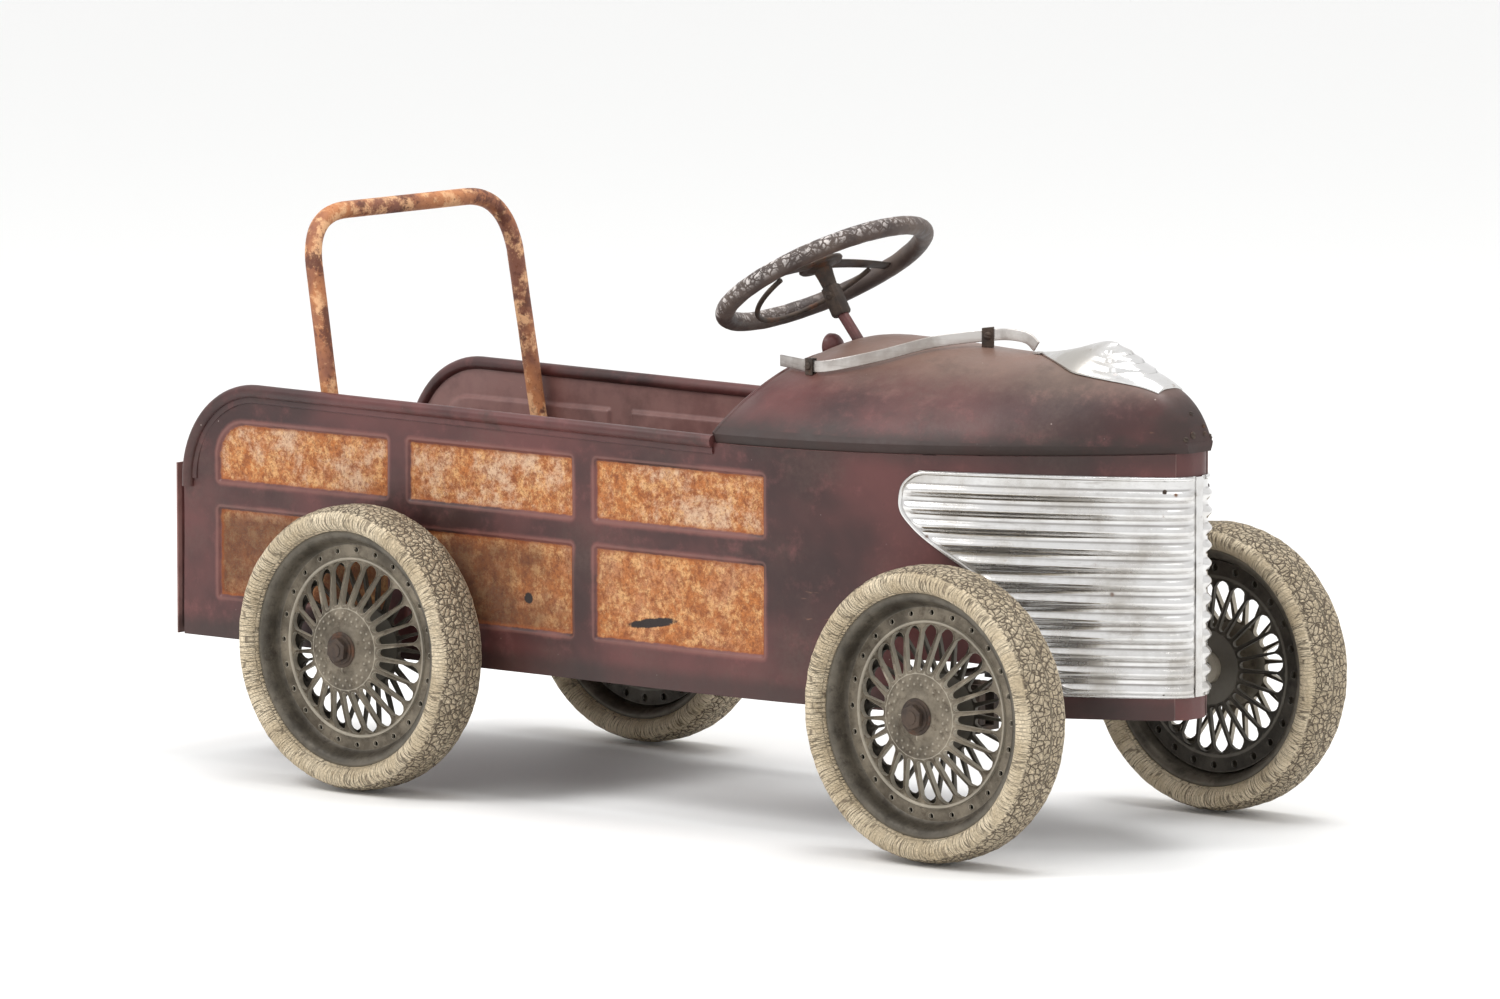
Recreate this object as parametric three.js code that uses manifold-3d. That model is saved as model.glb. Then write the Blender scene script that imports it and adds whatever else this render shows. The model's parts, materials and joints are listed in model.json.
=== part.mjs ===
// Pedal car with an open wagon body, an arched hood with a ribbed grille, a push hoop behind the seat,
// four spoked wheels, treadle pedals on a cranked rear axle, and a steered front axle.
// Millimetres. +X runs forward, +Y to the driver's left, +Z up. The origin is the middle of the
// footprint, on the ground.

import * as THREE from 'three';
import { mergeVertices } from 'three/addons/utils/BufferGeometryUtils.js';
import Module from 'manifold-3d';

const wasm = await Module();
wasm.setup();

// ---------- driving dimensions ----------

const GAP = 0.4; // air left between two pieces that touch
const SHEET = 1.6; // body sheet

// Body
const HALF_LENGTH = 521;
const BODY_HALF_WIDTH = 152;
const SILL_Z = 113;
const SIDE_REAR_X = -512;
const SIDE_FRONT_X = 512;
const COWL_X = 112; // where the cockpit ends and the hood begins
const TAPER_LENGTH = 432;
const TAPER_POWER = 2.1;
const NOSE_STATIONS = [285, 345, 390, 430, 465, SIDE_FRONT_X]; // shared by the sides and the grille
const TAPER_STATIONS = [COWL_X, 170, 225, ...NOSE_STATIONS];
const AXLE_HOLE_RADIUS = 11; // in the sides, round the rear axle
const NOTCH = { rear: 302, front: 403, top: 158 }; // opening in the sides for the steering arms

// Pressed panels of the sides: rear and front of each column, bottom and top of each row
const PANEL_DEPTH = 3;
const PANEL_BEVEL = 4;
const PANEL_COLUMNS = [[-471, -266], [-244, -50], [-27, 166]];
const PANEL_ROWS = [[149, 232], [253, 309]];

// Rolled top rail
const RAIL_Z = 338; // of its centre line
const RAIL_RADIUS = 6;
const RAIL_FALL = 5; // the rail drops this much from the rear corner to the cowl
const RAIL_TAIL = 8; // straight run below the rear corner
const REAR_CORNER_RADIUS = 83; // of the rail's centre line
const CORNER_STEPS = 8;

// Hood
const BELT_REAR_Z = 332; // lower edge at the cowl
const BELT_FRONT_Z = 341.6; // lower edge at the nose
const HOOD_LIP = 8; // height of the upright lower edge
const HOOD_PROUD = 1.4; // how far the hood stands outside the sides
const CREST_REAR_Z = 398;
const CREST_TOP_X = 195;
const CREST_TOP_Z = 419;
const SHOULDER_X = 400; // where the crest starts to round down to the nose
const SHOULDER_Z = 409.3;
const CREST_POWER = 1.2; // of the slow fall from the top to the shoulder
const NOSE_POWERS = [2.4, 2.4]; // of the nose's curve, along and up
const COWL_SECTION_POWER = 1.6; // a peaked section at the cowl
const NOSE_SECTION_POWER = 2.4; // a rounder one at the nose
const EDGE_POWER = 0.9; // below 1 rounds the hood down to its lower edge
const SECTION_BLEND = 360; // length over which the one turns into the other
const HOOD_STATIONS = [
  COWL_X, 135, 165, CREST_TOP_X, 240, 290, 340, 390, 425, 455, 480, 497, 508, 515, 519, HALF_LENGTH,
];
const HOOD_ACROSS = 6; // points from the edge to the crest

// Grille
const GRILLE_TOP_Z = 321;
const GRILLE_LOW_Z = 132;
const GRILLE_SKIN = 1.2;
const GRILLE_REAR_EDGE = [ // X and Z, upwards
  [432, GRILLE_LOW_Z], [425, 139], [414, 165], [395, 197], [366, 229], [307, 273], [298, 284], [296, 298],
  [301, 311], [314, GRILLE_TOP_Z],
];
const RIB_COUNT = 12;
const RIB_PITCH = 15.1;
const RIB_TOP_Z = 304.3;
const RIB_HALF = 5;
const RIB_HEIGHT = 3;

// Hood trim
const STRAP_HEIGHT = 10;
const STRAP_THICKNESS = 2;
const STRAP_STATIONS = [ // X, Y and clear height over the hood
  [104, -54, 1.5], [135, -74, 2], [164, -86, 2], [186, -87, 2.5], [226, -67, 2.5], [259, -35, 3], [292, -2, 5],
  [314, 1, 8], [332, 2, 7], [342, 2, 1],
];
const CLIP_STATIONS = { rear: 2, front: 6 }; // places in the list above
const ORNAMENT_STATIONS = [ // X, half width and height over the hood
  [350, 2, 1.5], [368, 13, 4], [388, 23.5, 8], [407, 31, 14.5], [424, 31.5, 17.5], [440, 29.5, 15],
  [458, 25.5, 8], [474, 21, 3.5], [488, 16.5, 1.5],
];
const LUG_X = COWL_X + 12;
const LUG_RADIUS = 10;

// Steering wheel and column
const COLUMN_ANGLE = THREE.MathUtils.degToRad(50); // column's slope below the horizontal
const WHEEL_TILT = THREE.MathUtils.degToRad(60); // slope of the steering wheel's own axis
const STEERING_CENTRE = new THREE.Vector3(108, 0, 466);
const STEERING_RIM_RADIUS = 93.7;
const STEERING_RIM_TUBE = 8.6;
const HUB_RISE = 9; // the spokes' hub sits above the plane of the rim
const HUB_RADIUS = 17;
const SPOKE_HALF_WIDTH = 7;
const HORN_RING_REACH = 72; // backward, from the hub
const HORN_RING_HALF_WIDTH = 60;
const HORN_RING_TUBE = 2.4;
const COLLAR_RADIUS = 8;
const COLLAR_LENGTH = 44;
const COLUMN_RADIUS = 5;
const COLUMN_LENGTH = 338;
const PITMAN_LENGTH = 38;

// Seat, frame, tailgate and push hoop
const SEAT_Z = 182; // top of the seat pan
const SEAT_SHEET = 2;
const FRAME_TOP_Z = SEAT_Z - SEAT_SHEET - GAP; // the frame rails carry the pan
const FRAME_HEIGHT = 22;
const FRAME_REAR_X = -498;
const FRAME_FRONT_X = 225;
const FRAME_INNER_Y = 122;
const FRAME_OUTER_Y = 134;
const HOOP_TUBE = 7.8;
const HOOP_TOP = new THREE.Vector3(-379.7, 80, 498);
const HOOP_KNEE = new THREE.Vector3(-368, 134.5, 448);
const HOOP_FOOT = new THREE.Vector3(-322, 138.6, 181.5); // stands on the frame rail, through the pan
const TAILGATE_TOP_Z = 267;
const HINGE = { x: -507, z: 119, radius: 3 };
const HINGE_STRAP_Y = 100;
const HINGE_STRAP_HALF = 10;

// Wheels and axles
const WHEEL_RADIUS = 127;
const AXLE_Z = WHEEL_RADIUS;
const REAR_AXLE_X = -261;
const FRONT_AXLE_X = 391;
const TRACK_HALF = 196; // centre line to tyre centre
const TYRE_HALF_WIDTH = 29;
const RIM_RADIUS = 103.7;
const BARREL_INNER = 93.4; // inside of the rim, round the discs
const HUB_FACE_RADIUS = 37;
const PETALS = 24;
const AXLE_RADIUS = 6;
const AXLE_BORE = AXLE_RADIUS + 0.4;
const AXLE_END_Y = TRACK_HALF + 33;
const NUT_RADIUS = 11;
const NUT_HEIGHT = 8;
const KINGPIN_Y = 140;
const KINGPIN_RADIUS = 4;
const KNUCKLE_BARREL_RADIUS = 8;
const YOKE_LOW_Z = 107;
const YOKE_HIGH_Z = 147;
const YOKE_LUG = 4;
const TIE_ROD_X = 315;
const TIE_ROD_Z = 141;
const TIE_ROD_RADIUS = 3.5;

// Pedals and crank
const CRANK_THROW = 32;
const THROW_INNER_Y = 70;
const THROW_OUTER_Y = 100;
const PEDAL_PIVOT_X = 240;
const PEDAL_PIVOT_Z = 270;
const PEDAL_ARM_LENGTH = 140;
const PEDAL_ROD_DROP = 115; // pivot to the drive rod's pin
const PEDAL_Y = 66;
const PEDAL_CROSS_ROD_RADIUS = 5;

// ---------- finishes ----------

const FINISH = {
  paint: { color: 0x5e3639, roughness: 0.6, metalness: 0.2 },
  rust: { color: 0x8a4a26, roughness: 0.8, metalness: 0.3 },
  bright: { color: 0xcfd0d2, roughness: 0.25, metalness: 0.95 },
  strap: { color: 0xb4b4b2, roughness: 0.4, metalness: 0.9 },
  castMetal: { color: 0x77766f, roughness: 0.55, metalness: 0.75 },
  steel: { color: 0x4a4440, roughness: 0.6, metalness: 0.8 },
  rimPlastic: { color: 0x4b3b33, roughness: 0.65, metalness: 0.0 },
  tyre: { color: 0xd8cdb4, roughness: 0.9, metalness: 0.0 },
  pedal: { color: 0x2b2a29, roughness: 0.85, metalness: 0.0 },
};

// ---------- mesh helpers ----------

// Position-only copy with shared vertices merged and collapsed triangles dropped.
function closed(geometry) {
  const bare = geometry.clone();
  bare.deleteAttribute('normal');
  bare.deleteAttribute('uv');
  const merged = mergeVertices(bare, 1e-4);
  const source = merged.index.array;
  const kept = [];
  for (let i = 0; i < source.length; i += 3) {
    const [a, b, c] = [source[i], source[i + 1], source[i + 2]];
    if (a !== b && b !== c && c !== a) kept.push(a, b, c);
  }
  merged.setIndex(kept);
  return merged;
}

function solid(geometry) {
  const bare = closed(geometry);
  return new wasm.Manifold(new wasm.Mesh({
    numProp: 3,
    vertProperties: Float32Array.from(bare.attributes.position.array),
    triVerts: Uint32Array.from(bare.index.array),
  }));
}

function geometryOf(manifold) {
  const mesh = manifold.getMesh();
  const geometry = new THREE.BufferGeometry();
  geometry.setAttribute('position', new THREE.BufferAttribute(mesh.vertProperties, 3));
  geometry.setIndex(new THREE.BufferAttribute(mesh.triVerts, 1));
  return geometry;
}

function join(first, ...others) {
  return geometryOf(others.reduce((sum, geometry) => sum.add(solid(geometry)), solid(first)));
}

function cut(first, ...others) {
  return geometryOf(others.reduce((rest, geometry) => rest.subtract(solid(geometry)), solid(first)));
}

function common(first, second) {
  return geometryOf(solid(first).intersect(solid(second)));
}

// The same shape on the car's other side, with its faces still pointing out.
function mirrored(geometry) {
  const flipped = closed(geometry).scale(1, -1, 1);
  const index = flipped.index.array;
  for (let i = 0; i < index.length; i += 3) {
    [index[i], index[i + 1]] = [index[i + 1], index[i]];
  }
  return flipped;
}

function box(lowX, highX, lowY, highY, lowZ, highZ) {
  const geometry = new THREE.BoxGeometry(highX - lowX, highY - lowY, highZ - lowZ);
  return geometry.translate((lowX + highX) / 2, (lowY + highY) / 2, (lowZ + highZ) / 2);
}

// Round bar from one point to another.
function bar(from, to, radius, sides = 12) {
  const span = new THREE.Vector3().subVectors(to, from);
  const turn = new THREE.Quaternion().setFromUnitVectors(new THREE.Vector3(0, 1, 0), span.clone().normalize());
  return new THREE.CylinderGeometry(radius, radius, span.length(), sides)
    .applyQuaternion(turn)
    .translate((from.x + to.x) / 2, (from.y + to.y) / 2, (from.z + to.z) / 2);
}

function vec(x, y, z) {
  return new THREE.Vector3(x, y, z);
}

function circleShape(radius, sides) {
  const shape = new THREE.Shape();
  for (let i = 0; i < sides; i += 1) {
    const angle = (i / sides) * Math.PI * 2;
    const [x, y] = [radius * Math.cos(angle), radius * Math.sin(angle)];
    if (i === 0) shape.moveTo(x, y);
    else shape.lineTo(x, y);
  }
  shape.closePath();
  return shape;
}

// A section carried along a path made of straight runs and arcs.
function swept(path, section, steps) {
  return new THREE.ExtrudeGeometry(section, { steps, bevelEnabled: false, extrudePath: path });
}

// An outline drawn in X and Z, given thickness along Y from y = low to y = high.
function slabXZ(points, low, high, holes = []) {
  const shape = new THREE.Shape(points.map(([x, z]) => new THREE.Vector2(x, z)));
  holes.forEach((hole) => shape.holes.push(new THREE.Path(hole.map(([x, z]) => new THREE.Vector2(x, z)))));
  return new THREE.ExtrudeGeometry(shape, { depth: high - low, bevelEnabled: false })
    .rotateX(Math.PI / 2)
    .translate(0, high, 0);
}

// An outline drawn in X and Y, raised along Z from z = low to z = high.
function slabXY(points, low, high) {
  const shape = new THREE.Shape(points.map(([x, y]) => new THREE.Vector2(x, y)));
  return new THREE.ExtrudeGeometry(shape, { depth: high - low, bevelEnabled: false }).translate(0, 0, low);
}

function ringPoints(x, z, radius, sides) {
  return Array.from({ length: sides }, (_, i) => {
    const angle = (i / sides) * Math.PI * 2;
    return [x + radius * Math.cos(angle), z + radius * Math.sin(angle)];
  });
}

// Closed sheet whose outer face is outerY(x, z) on a grid of stations, with its thickness towards -Y.
function gridSheet(xs, zs, outerY, thickness) {
  const [columns, rows] = [xs.length, zs.length];
  const positions = [];
  [0, thickness].forEach((depth) => {
    xs.forEach((x) => zs.forEach((z) => positions.push(x, outerY(x, z) - depth, z)));
  });
  const at = (layer, i, j) => layer * columns * rows + i * rows + j;
  const index = [];
  const quad = (a, b, c, d) => index.push(a, b, c, a, c, d);
  for (let i = 0; i < columns - 1; i += 1) {
    for (let j = 0; j < rows - 1; j += 1) {
      quad(at(0, i, j), at(0, i, j + 1), at(0, i + 1, j + 1), at(0, i + 1, j));
      quad(at(1, i, j), at(1, i + 1, j), at(1, i + 1, j + 1), at(1, i, j + 1));
    }
    quad(at(0, i, 0), at(0, i + 1, 0), at(1, i + 1, 0), at(1, i, 0));
    quad(at(0, i, rows - 1), at(1, i, rows - 1), at(1, i + 1, rows - 1), at(0, i + 1, rows - 1));
  }
  for (let j = 0; j < rows - 1; j += 1) {
    quad(at(0, 0, j), at(1, 0, j), at(1, 0, j + 1), at(0, 0, j + 1));
    quad(at(0, columns - 1, j), at(0, columns - 1, j + 1), at(1, columns - 1, j + 1), at(1, columns - 1, j));
  }
  const geometry = new THREE.BufferGeometry();
  geometry.setAttribute('position', new THREE.Float32BufferAttribute(positions, 3));
  geometry.setIndex(index);
  return geometry;
}

// Closed loft through rings of points that all have the same count, capped at both ends.
function loft(rings) {
  const count = rings[0].length;
  const positions = rings.flat(2);
  const index = [];
  for (let r = 0; r < rings.length - 1; r += 1) {
    for (let i = 0; i < count; i += 1) {
      const next = (i + 1) % count;
      const [a, b] = [r * count + i, r * count + next];
      index.push(a, b, b + count, a, b + count, a + count);
    }
  }
  const last = (rings.length - 1) * count;
  for (let i = 1; i < count - 1; i += 1) {
    index.push(0, i + 1, i);
    index.push(last, last + i, last + i + 1);
  }
  const geometry = new THREE.BufferGeometry();
  geometry.setAttribute('position', new THREE.Float32BufferAttribute(positions, 3));
  geometry.setIndex(index);
  return geometry;
}

const car = new THREE.Group();

function add(parent, name, geometry, finish) {
  const mesh = new THREE.Mesh(closed(geometry), new THREE.MeshStandardMaterial(FINISH[finish]));
  mesh.name = name;
  parent.add(mesh);
  return mesh;
}

const SIDES = [['left', 1], ['right', -1]];

// The left piece and its mirror image on the right.
function addPair(name, geometry, finish) {
  add(car, `${name}_left`, geometry, finish);
  add(car, `${name}_right`, mirrored(geometry), finish);
}

// ---------- body ----------

// Half width of the body: parallel along the cockpit, then drawn in to the nose.
function halfWidth(x) {
  if (x <= COWL_X) return BODY_HALF_WIDTH;
  return BODY_HALF_WIDTH * (1 - ((x - COWL_X) / TAPER_LENGTH) ** TAPER_POWER);
}

// Height of the hood's lower edge above the ground.
function beltZ(x) {
  const along = Math.max(0, (x - COWL_X) / (HALF_LENGTH - COWL_X));
  return BELT_REAR_Z + (BELT_FRONT_Z - BELT_REAR_Z) * along ** 2;
}

function panelDepth(x, z) {
  let depth = 0;
  PANEL_COLUMNS.forEach(([rear, front]) => PANEL_ROWS.forEach(([low, high]) => {
    const inside = Math.min(x - rear, front - x, z - low, high - z);
    depth = Math.max(depth, Math.min(1, Math.max(0, inside / PANEL_BEVEL)));
  }));
  return depth * PANEL_DEPTH;
}

function edgesOf(ranges) {
  return ranges.flatMap(([low, high]) => [low, low + PANEL_BEVEL, high - PANEL_BEVEL, high]);
}

// Angle of a step of the rear top corner, from the tail end up to the straight rail.
function cornerAngle(step) {
  return Math.PI - (step / CORNER_STEPS) * (Math.PI / 2);
}

function rearCorner(radius) {
  const [centreX, centreZ] = [SIDE_REAR_X + REAR_CORNER_RADIUS + RAIL_RADIUS, RAIL_Z - REAR_CORNER_RADIUS];
  return Array.from({ length: CORNER_STEPS + 1 }, (_, i) => {
    const angle = cornerAngle(i);
    return [centreX + radius * Math.cos(angle), centreZ + radius * Math.sin(angle)];
  });
}

function sidePanel() {
  const xs = [SIDE_REAR_X, ...edgesOf(PANEL_COLUMNS), ...TAPER_STATIONS].sort((a, b) => a - b);
  const zs = [SILL_Z, ...edgesOf(PANEL_ROWS), BELT_FRONT_Z - GAP];
  const sheet = gridSheet(xs, zs, (x, z) => halfWidth(x) - panelDepth(x, z), SHEET);
  const edge = RAIL_RADIUS + GAP;
  const corner = rearCorner(REAR_CORNER_RADIUS - edge - 1);
  const tailZ = corner[0][1] - RAIL_TAIL - GAP;
  const outline = [
    [SIDE_REAR_X, SILL_Z - 1],
    [SIDE_REAR_X, tailZ],
    [corner[0][0], tailZ],
    ...corner,
    [COWL_X, RAIL_Z - RAIL_FALL - edge],
    ...TAPER_STATIONS.map((x) => [x + 0.5, beltZ(x) - GAP]),
    [SIDE_FRONT_X + 1, SILL_Z - 1],
  ];
  const trimmed = common(sheet, slabXZ(outline, 0, BODY_HALF_WIDTH + 5));
  const axleHole = slabXZ(ringPoints(REAR_AXLE_X, AXLE_Z, AXLE_HOLE_RADIUS, 12), 0, TRACK_HALF);
  const notch = box(NOTCH.rear, NOTCH.front, 0, TRACK_HALF, SILL_Z - 5, NOTCH.top);
  return cut(trimmed, axleHole, notch);
}

function topRail() {
  const corner = rearCorner(REAR_CORNER_RADIUS).map(([x, z]) => vec(x, BODY_HALF_WIDTH, z));
  const tail = corner[0].clone().add(vec(0, 0, -RAIL_TAIL));
  const front = vec(COWL_X - 2, BODY_HALF_WIDTH, RAIL_Z - RAIL_FALL);
  const section = (point, angle) => circleShape(RAIL_RADIUS, 8).getPoints(1).slice(0, 8)
    .map(({ x, y }) => [point.x + x * Math.sin(angle), point.y + y, point.z - x * Math.cos(angle)]);
  const turned = corner.map((point, i) => section(point, cornerAngle(i) - Math.PI / 2));
  return loft([section(tail, Math.PI / 2), ...turned, section(front, 0)]);
}

// Narrow curved plate that closes the body between the fronts of the two sides.
function frontStrip() {
  const outerHalf = [[519.4, 8], [517.5, 17], [512.6, 21.2]];
  const innerHalf = [[511.4, 19.6], [515.6, 16], [517.4, 7.6]];
  const acrossFrom = ([x, y]) => [x, -y];
  const outline = [
    ...outerHalf, ...innerHalf, ...innerHalf.map(acrossFrom).reverse(), ...outerHalf.map(acrossFrom).reverse(),
  ];
  return slabXY(outline, SILL_Z, BELT_FRONT_Z - GAP);
}

addPair('side_panel', sidePanel(), 'paint');
addPair('top_rail', topRail(), 'paint');
add(car, 'front_strip', frontStrip(), 'paint');

// ---------- steering line ----------

const UP_WHEEL_AXIS = vec(-Math.cos(WHEEL_TILT), 0, Math.sin(WHEEL_TILT));
const DOWN_COLUMN = vec(Math.cos(COLUMN_ANGLE), 0, -Math.sin(COLUMN_ANGLE));
const COLLAR_FOOT = STEERING_CENTRE.clone().addScaledVector(UP_WHEEL_AXIS, HUB_RISE - COLLAR_LENGTH);

// Point on the column's axis, measured from the foot of the collar.
function columnPoint(distance) {
  return COLLAR_FOOT.clone().addScaledVector(DOWN_COLUMN, distance);
}

// ---------- hood ----------

// Height of the hood's centre line: it rises over the cowl, runs almost level and rounds down at the nose.
function crestZ(x) {
  if (x < CREST_TOP_X) {
    const back = (CREST_TOP_X - x) / (CREST_TOP_X - COWL_X);
    return CREST_TOP_Z - (CREST_TOP_Z - CREST_REAR_Z) * back ** 2;
  }
  if (x < SHOULDER_X) {
    const along = (x - CREST_TOP_X) / (SHOULDER_X - CREST_TOP_X);
    return CREST_TOP_Z - (CREST_TOP_Z - SHOULDER_Z) * along ** CREST_POWER;
  }
  const down = (x - SHOULDER_X) / (HALF_LENGTH - SHOULDER_X);
  const level = (1 - down ** NOSE_POWERS[0]) ** (1 / NOSE_POWERS[1]);
  return beltZ(x) + (SHOULDER_Z - beltZ(x)) * level;
}

function sectionPower(x) {
  const blend = Math.min(1, Math.max(0, (x - COWL_X) / SECTION_BLEND));
  return COWL_SECTION_POWER + (NOSE_SECTION_POWER - COWL_SECTION_POWER) * blend;
}

// Share of the hood's rise that is left at a distance from the centre line, from 0 to 1.
function fullness(x, across) {
  return (1 - Math.min(1, across) ** sectionPower(x)) ** EDGE_POWER;
}

// Height of the hood's outer face at a point in plan.
function hoodZ(x, y) {
  const across = Math.abs(y) / (halfWidth(x) + HOOD_PROUD);
  return beltZ(x) + HOOD_LIP + (crestZ(x) - beltZ(x) - HOOD_LIP) * fullness(x, across);
}

// Section of the hood, moved in by inset. A section of the hollow runs out below the lower edge.
function hoodRing(x, inset) {
  const width = Math.max(2, halfWidth(Math.min(x, HALF_LENGTH - 1)) + HOOD_PROUD - inset);
  const low = beltZ(x);
  const rise = Math.max(0.5, crestZ(x) - low - HOOD_LIP - inset);
  const foot = inset > 0 ? low - 20 : low;
  const ring = [[x, -width, foot]];
  for (let i = 0; i <= 2 * HOOD_ACROSS; i += 1) {
    const across = -Math.cos((i / (2 * HOOD_ACROSS)) * Math.PI);
    const z = low + HOOD_LIP + rise * fullness(x, Math.abs(across));
    ring.push([x, width * across, z]);
  }
  ring.push([x, width, foot]);
  return ring.reverse();
}

function hood() {
  const outer = loft(HOOD_STATIONS.map((x) => hoodRing(x, 0)));
  const hollow = [COWL_X - 5, ...HOOD_STATIONS.slice(1, -2)].map((x) => hoodRing(x, SHEET));
  const columnHole = bar(columnPoint(0), columnPoint(90), COLUMN_RADIUS + 3);
  return cut(outer, loft(hollow), columnHole);
}

add(car, 'hood', hood(), 'paint');

// ---------- steering ----------

// The column, with the pitman arm at its foot.
function column() {
  const end = columnPoint(COLUMN_LENGTH);
  const armDirection = vec(-Math.sin(COLUMN_ANGLE), 0, -Math.cos(COLUMN_ANGLE));
  const tip = end.clone().addScaledVector(armDirection, PITMAN_LENGTH);
  const arm = bar(end.clone().addScaledVector(armDirection, -4), tip, 4, 8);
  return join(bar(columnPoint(4), columnPoint(COLUMN_LENGTH + 5), COLUMN_RADIUS), arm);
}

// Steering-wheel pieces are made flat round their own axis (local +Z) and then tilted as one group.
const steeringGroup = new THREE.Group();
steeringGroup.position.copy(STEERING_CENTRE);
steeringGroup.quaternion.setFromUnitVectors(vec(0, 0, 1), UP_WHEEL_AXIS);
car.add(steeringGroup);

function steeringRim() {
  const ring = circleShape(STEERING_RIM_TUBE, 8).getPoints(1).slice(0, 8);
  const profile = ring.map((p) => new THREE.Vector2(STEERING_RIM_RADIUS + p.x, p.y));
  profile.push(profile[0].clone());
  return new THREE.LatheGeometry(profile, 32).rotateX(Math.PI / 2);
}

function steeringSpokes() {
  const reach = STEERING_RIM_RADIUS - STEERING_RIM_TUBE - 1;
  const disc = new THREE.CylinderGeometry(HUB_RADIUS, HUB_RADIUS, 5, 16);
  const hub = disc.rotateX(Math.PI / 2).translate(0, 0, HUB_RISE);
  const half = [[0, HUB_RISE + 2], [reach * 0.45, HUB_RISE + 1.5], [reach, 2], [reach, -2],
    [reach * 0.45, HUB_RISE - 2.5], [0, HUB_RISE - 2]];
  const blade = (sign) => {
    const spoke = slabXZ([...half].reverse(), -SPOKE_HALF_WIDTH, SPOKE_HALF_WIDTH).rotateZ(Math.PI / 2);
    return sign > 0 ? spoke : mirrored(spoke);
  };
  return join(hub, blade(1), blade(-1));
}

// Half ring under the spokes, from one spoke round the rear to the other. It dips in the middle.
function hornRing() {
  const points = Array.from({ length: 9 }, (_, i) => {
    const angle = Math.PI / 2 + (i / 8) * Math.PI;
    const z = -1 - 8.5 * Math.sin((i / 8) * Math.PI);
    return vec(HORN_RING_REACH * Math.cos(angle), HORN_RING_HALF_WIDTH * Math.sin(angle), z);
  });
  return swept(new THREE.CatmullRomCurve3(points), circleShape(HORN_RING_TUBE, 6), 20);
}

function hubNut() {
  return new THREE.CylinderGeometry(6.5, 6.5, 5, 6).rotateX(Math.PI / 2).translate(0, 0, HUB_RISE + 5.4);
}

function collar() {
  return new THREE.CylinderGeometry(COLLAR_RADIUS, COLLAR_RADIUS, COLLAR_LENGTH - 4, 12)
    .rotateX(Math.PI / 2)
    .translate(0, 0, HUB_RISE - 3 - COLLAR_LENGTH / 2);
}

add(steeringGroup, 'steering_rim', steeringRim(), 'rimPlastic');
add(steeringGroup, 'steering_spokes', steeringSpokes(), 'steel');
add(steeringGroup, 'horn_ring', hornRing(), 'steel');
add(steeringGroup, 'steering_hub_nut', hubNut(), 'steel');
add(steeringGroup, 'steering_collar', collar(), 'steel');
add(car, 'steering_column', column(), 'paint');

// ---------- grille ----------

function ribHeight(z) {
  for (let i = 0; i < RIB_COUNT; i += 1) {
    const offset = Math.abs(z - (RIB_TOP_Z - i * RIB_PITCH));
    if (offset < RIB_HALF) return RIB_HEIGHT * (1 - offset / RIB_HALF);
  }
  return 0;
}

function grilleHalf() {
  const zs = [GRILLE_LOW_Z - 3];
  for (let i = RIB_COUNT - 1; i >= 0; i -= 1) {
    const middle = RIB_TOP_Z - i * RIB_PITCH;
    zs.push(middle - RIB_HALF, middle, middle + RIB_HALF);
  }
  zs.push(GRILLE_TOP_Z + 2);
  const outerY = (x, z) => halfWidth(x) + GAP + GRILLE_SKIN + ribHeight(z);
  const sheet = gridSheet(NOSE_STATIONS, zs, outerY, GRILLE_SKIN);
  const frontX = SIDE_FRONT_X + 5;
  const outline = [[frontX, GRILLE_LOW_Z], ...GRILLE_REAR_EDGE, [frontX, GRILLE_TOP_Z]];
  return common(sheet, slabXZ(outline.reverse(), 0, TRACK_HALF));
}

// Bright strip that covers the joint of the two halves.
function grilleFront() {
  const outline = [[520, 11], [520.6, 6], [520.6, -6], [520, -11], [519.8, -6], [519.8, 6]];
  return slabXY(outline.reverse(), GRILLE_LOW_Z, GRILLE_TOP_Z);
}

addPair('grille', grilleHalf(), 'bright');
add(car, 'grille_front_strip', grilleFront(), 'bright');

// ---------- hood trim ----------

// The hood's whole volume, grown by the gap, to trim pieces that sit on it.
function hoodClearance() {
  return loft(HOOD_STATIONS.map((x) => hoodRing(x, -GAP)));
}

// Lower edge of the strap that runs from the cowl's right corner forward and up to the crest.
function strapCurve() {
  return new THREE.CatmullRomCurve3(
    STRAP_STATIONS.map(([x, y, lift]) => vec(x, y, hoodZ(Math.max(x, COWL_X), y) + lift)),
  );
}

// Band stood on edge, with a small foot at its front end.
function hoodStrap() {
  const curve = strapCurve();
  const count = 36;
  const rings = Array.from({ length: count + 1 }, (_, i) => {
    const { x, y, z } = curve.getPoint(i / count);
    const forward = curve.getTangent(i / count).setZ(0).normalize();
    const out = vec(-forward.y, forward.x, 0).multiplyScalar(STRAP_THICKNESS / 2);
    return [
      [x + out.x, y + out.y, z], [x + out.x, y + out.y, z + STRAP_HEIGHT],
      [x - out.x, y - out.y, z + STRAP_HEIGHT], [x - out.x, y - out.y, z],
    ];
  });
  const end = curve.getPoint(1);
  const foot = box(end.x - 1, end.x + 8, end.y - 4, end.y + 4, end.z - 4, end.z + 1);
  return cut(join(loft(rings), foot), hoodClearance());
}

add(car, 'hood_strap', hoodStrap(), 'strap');

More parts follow.
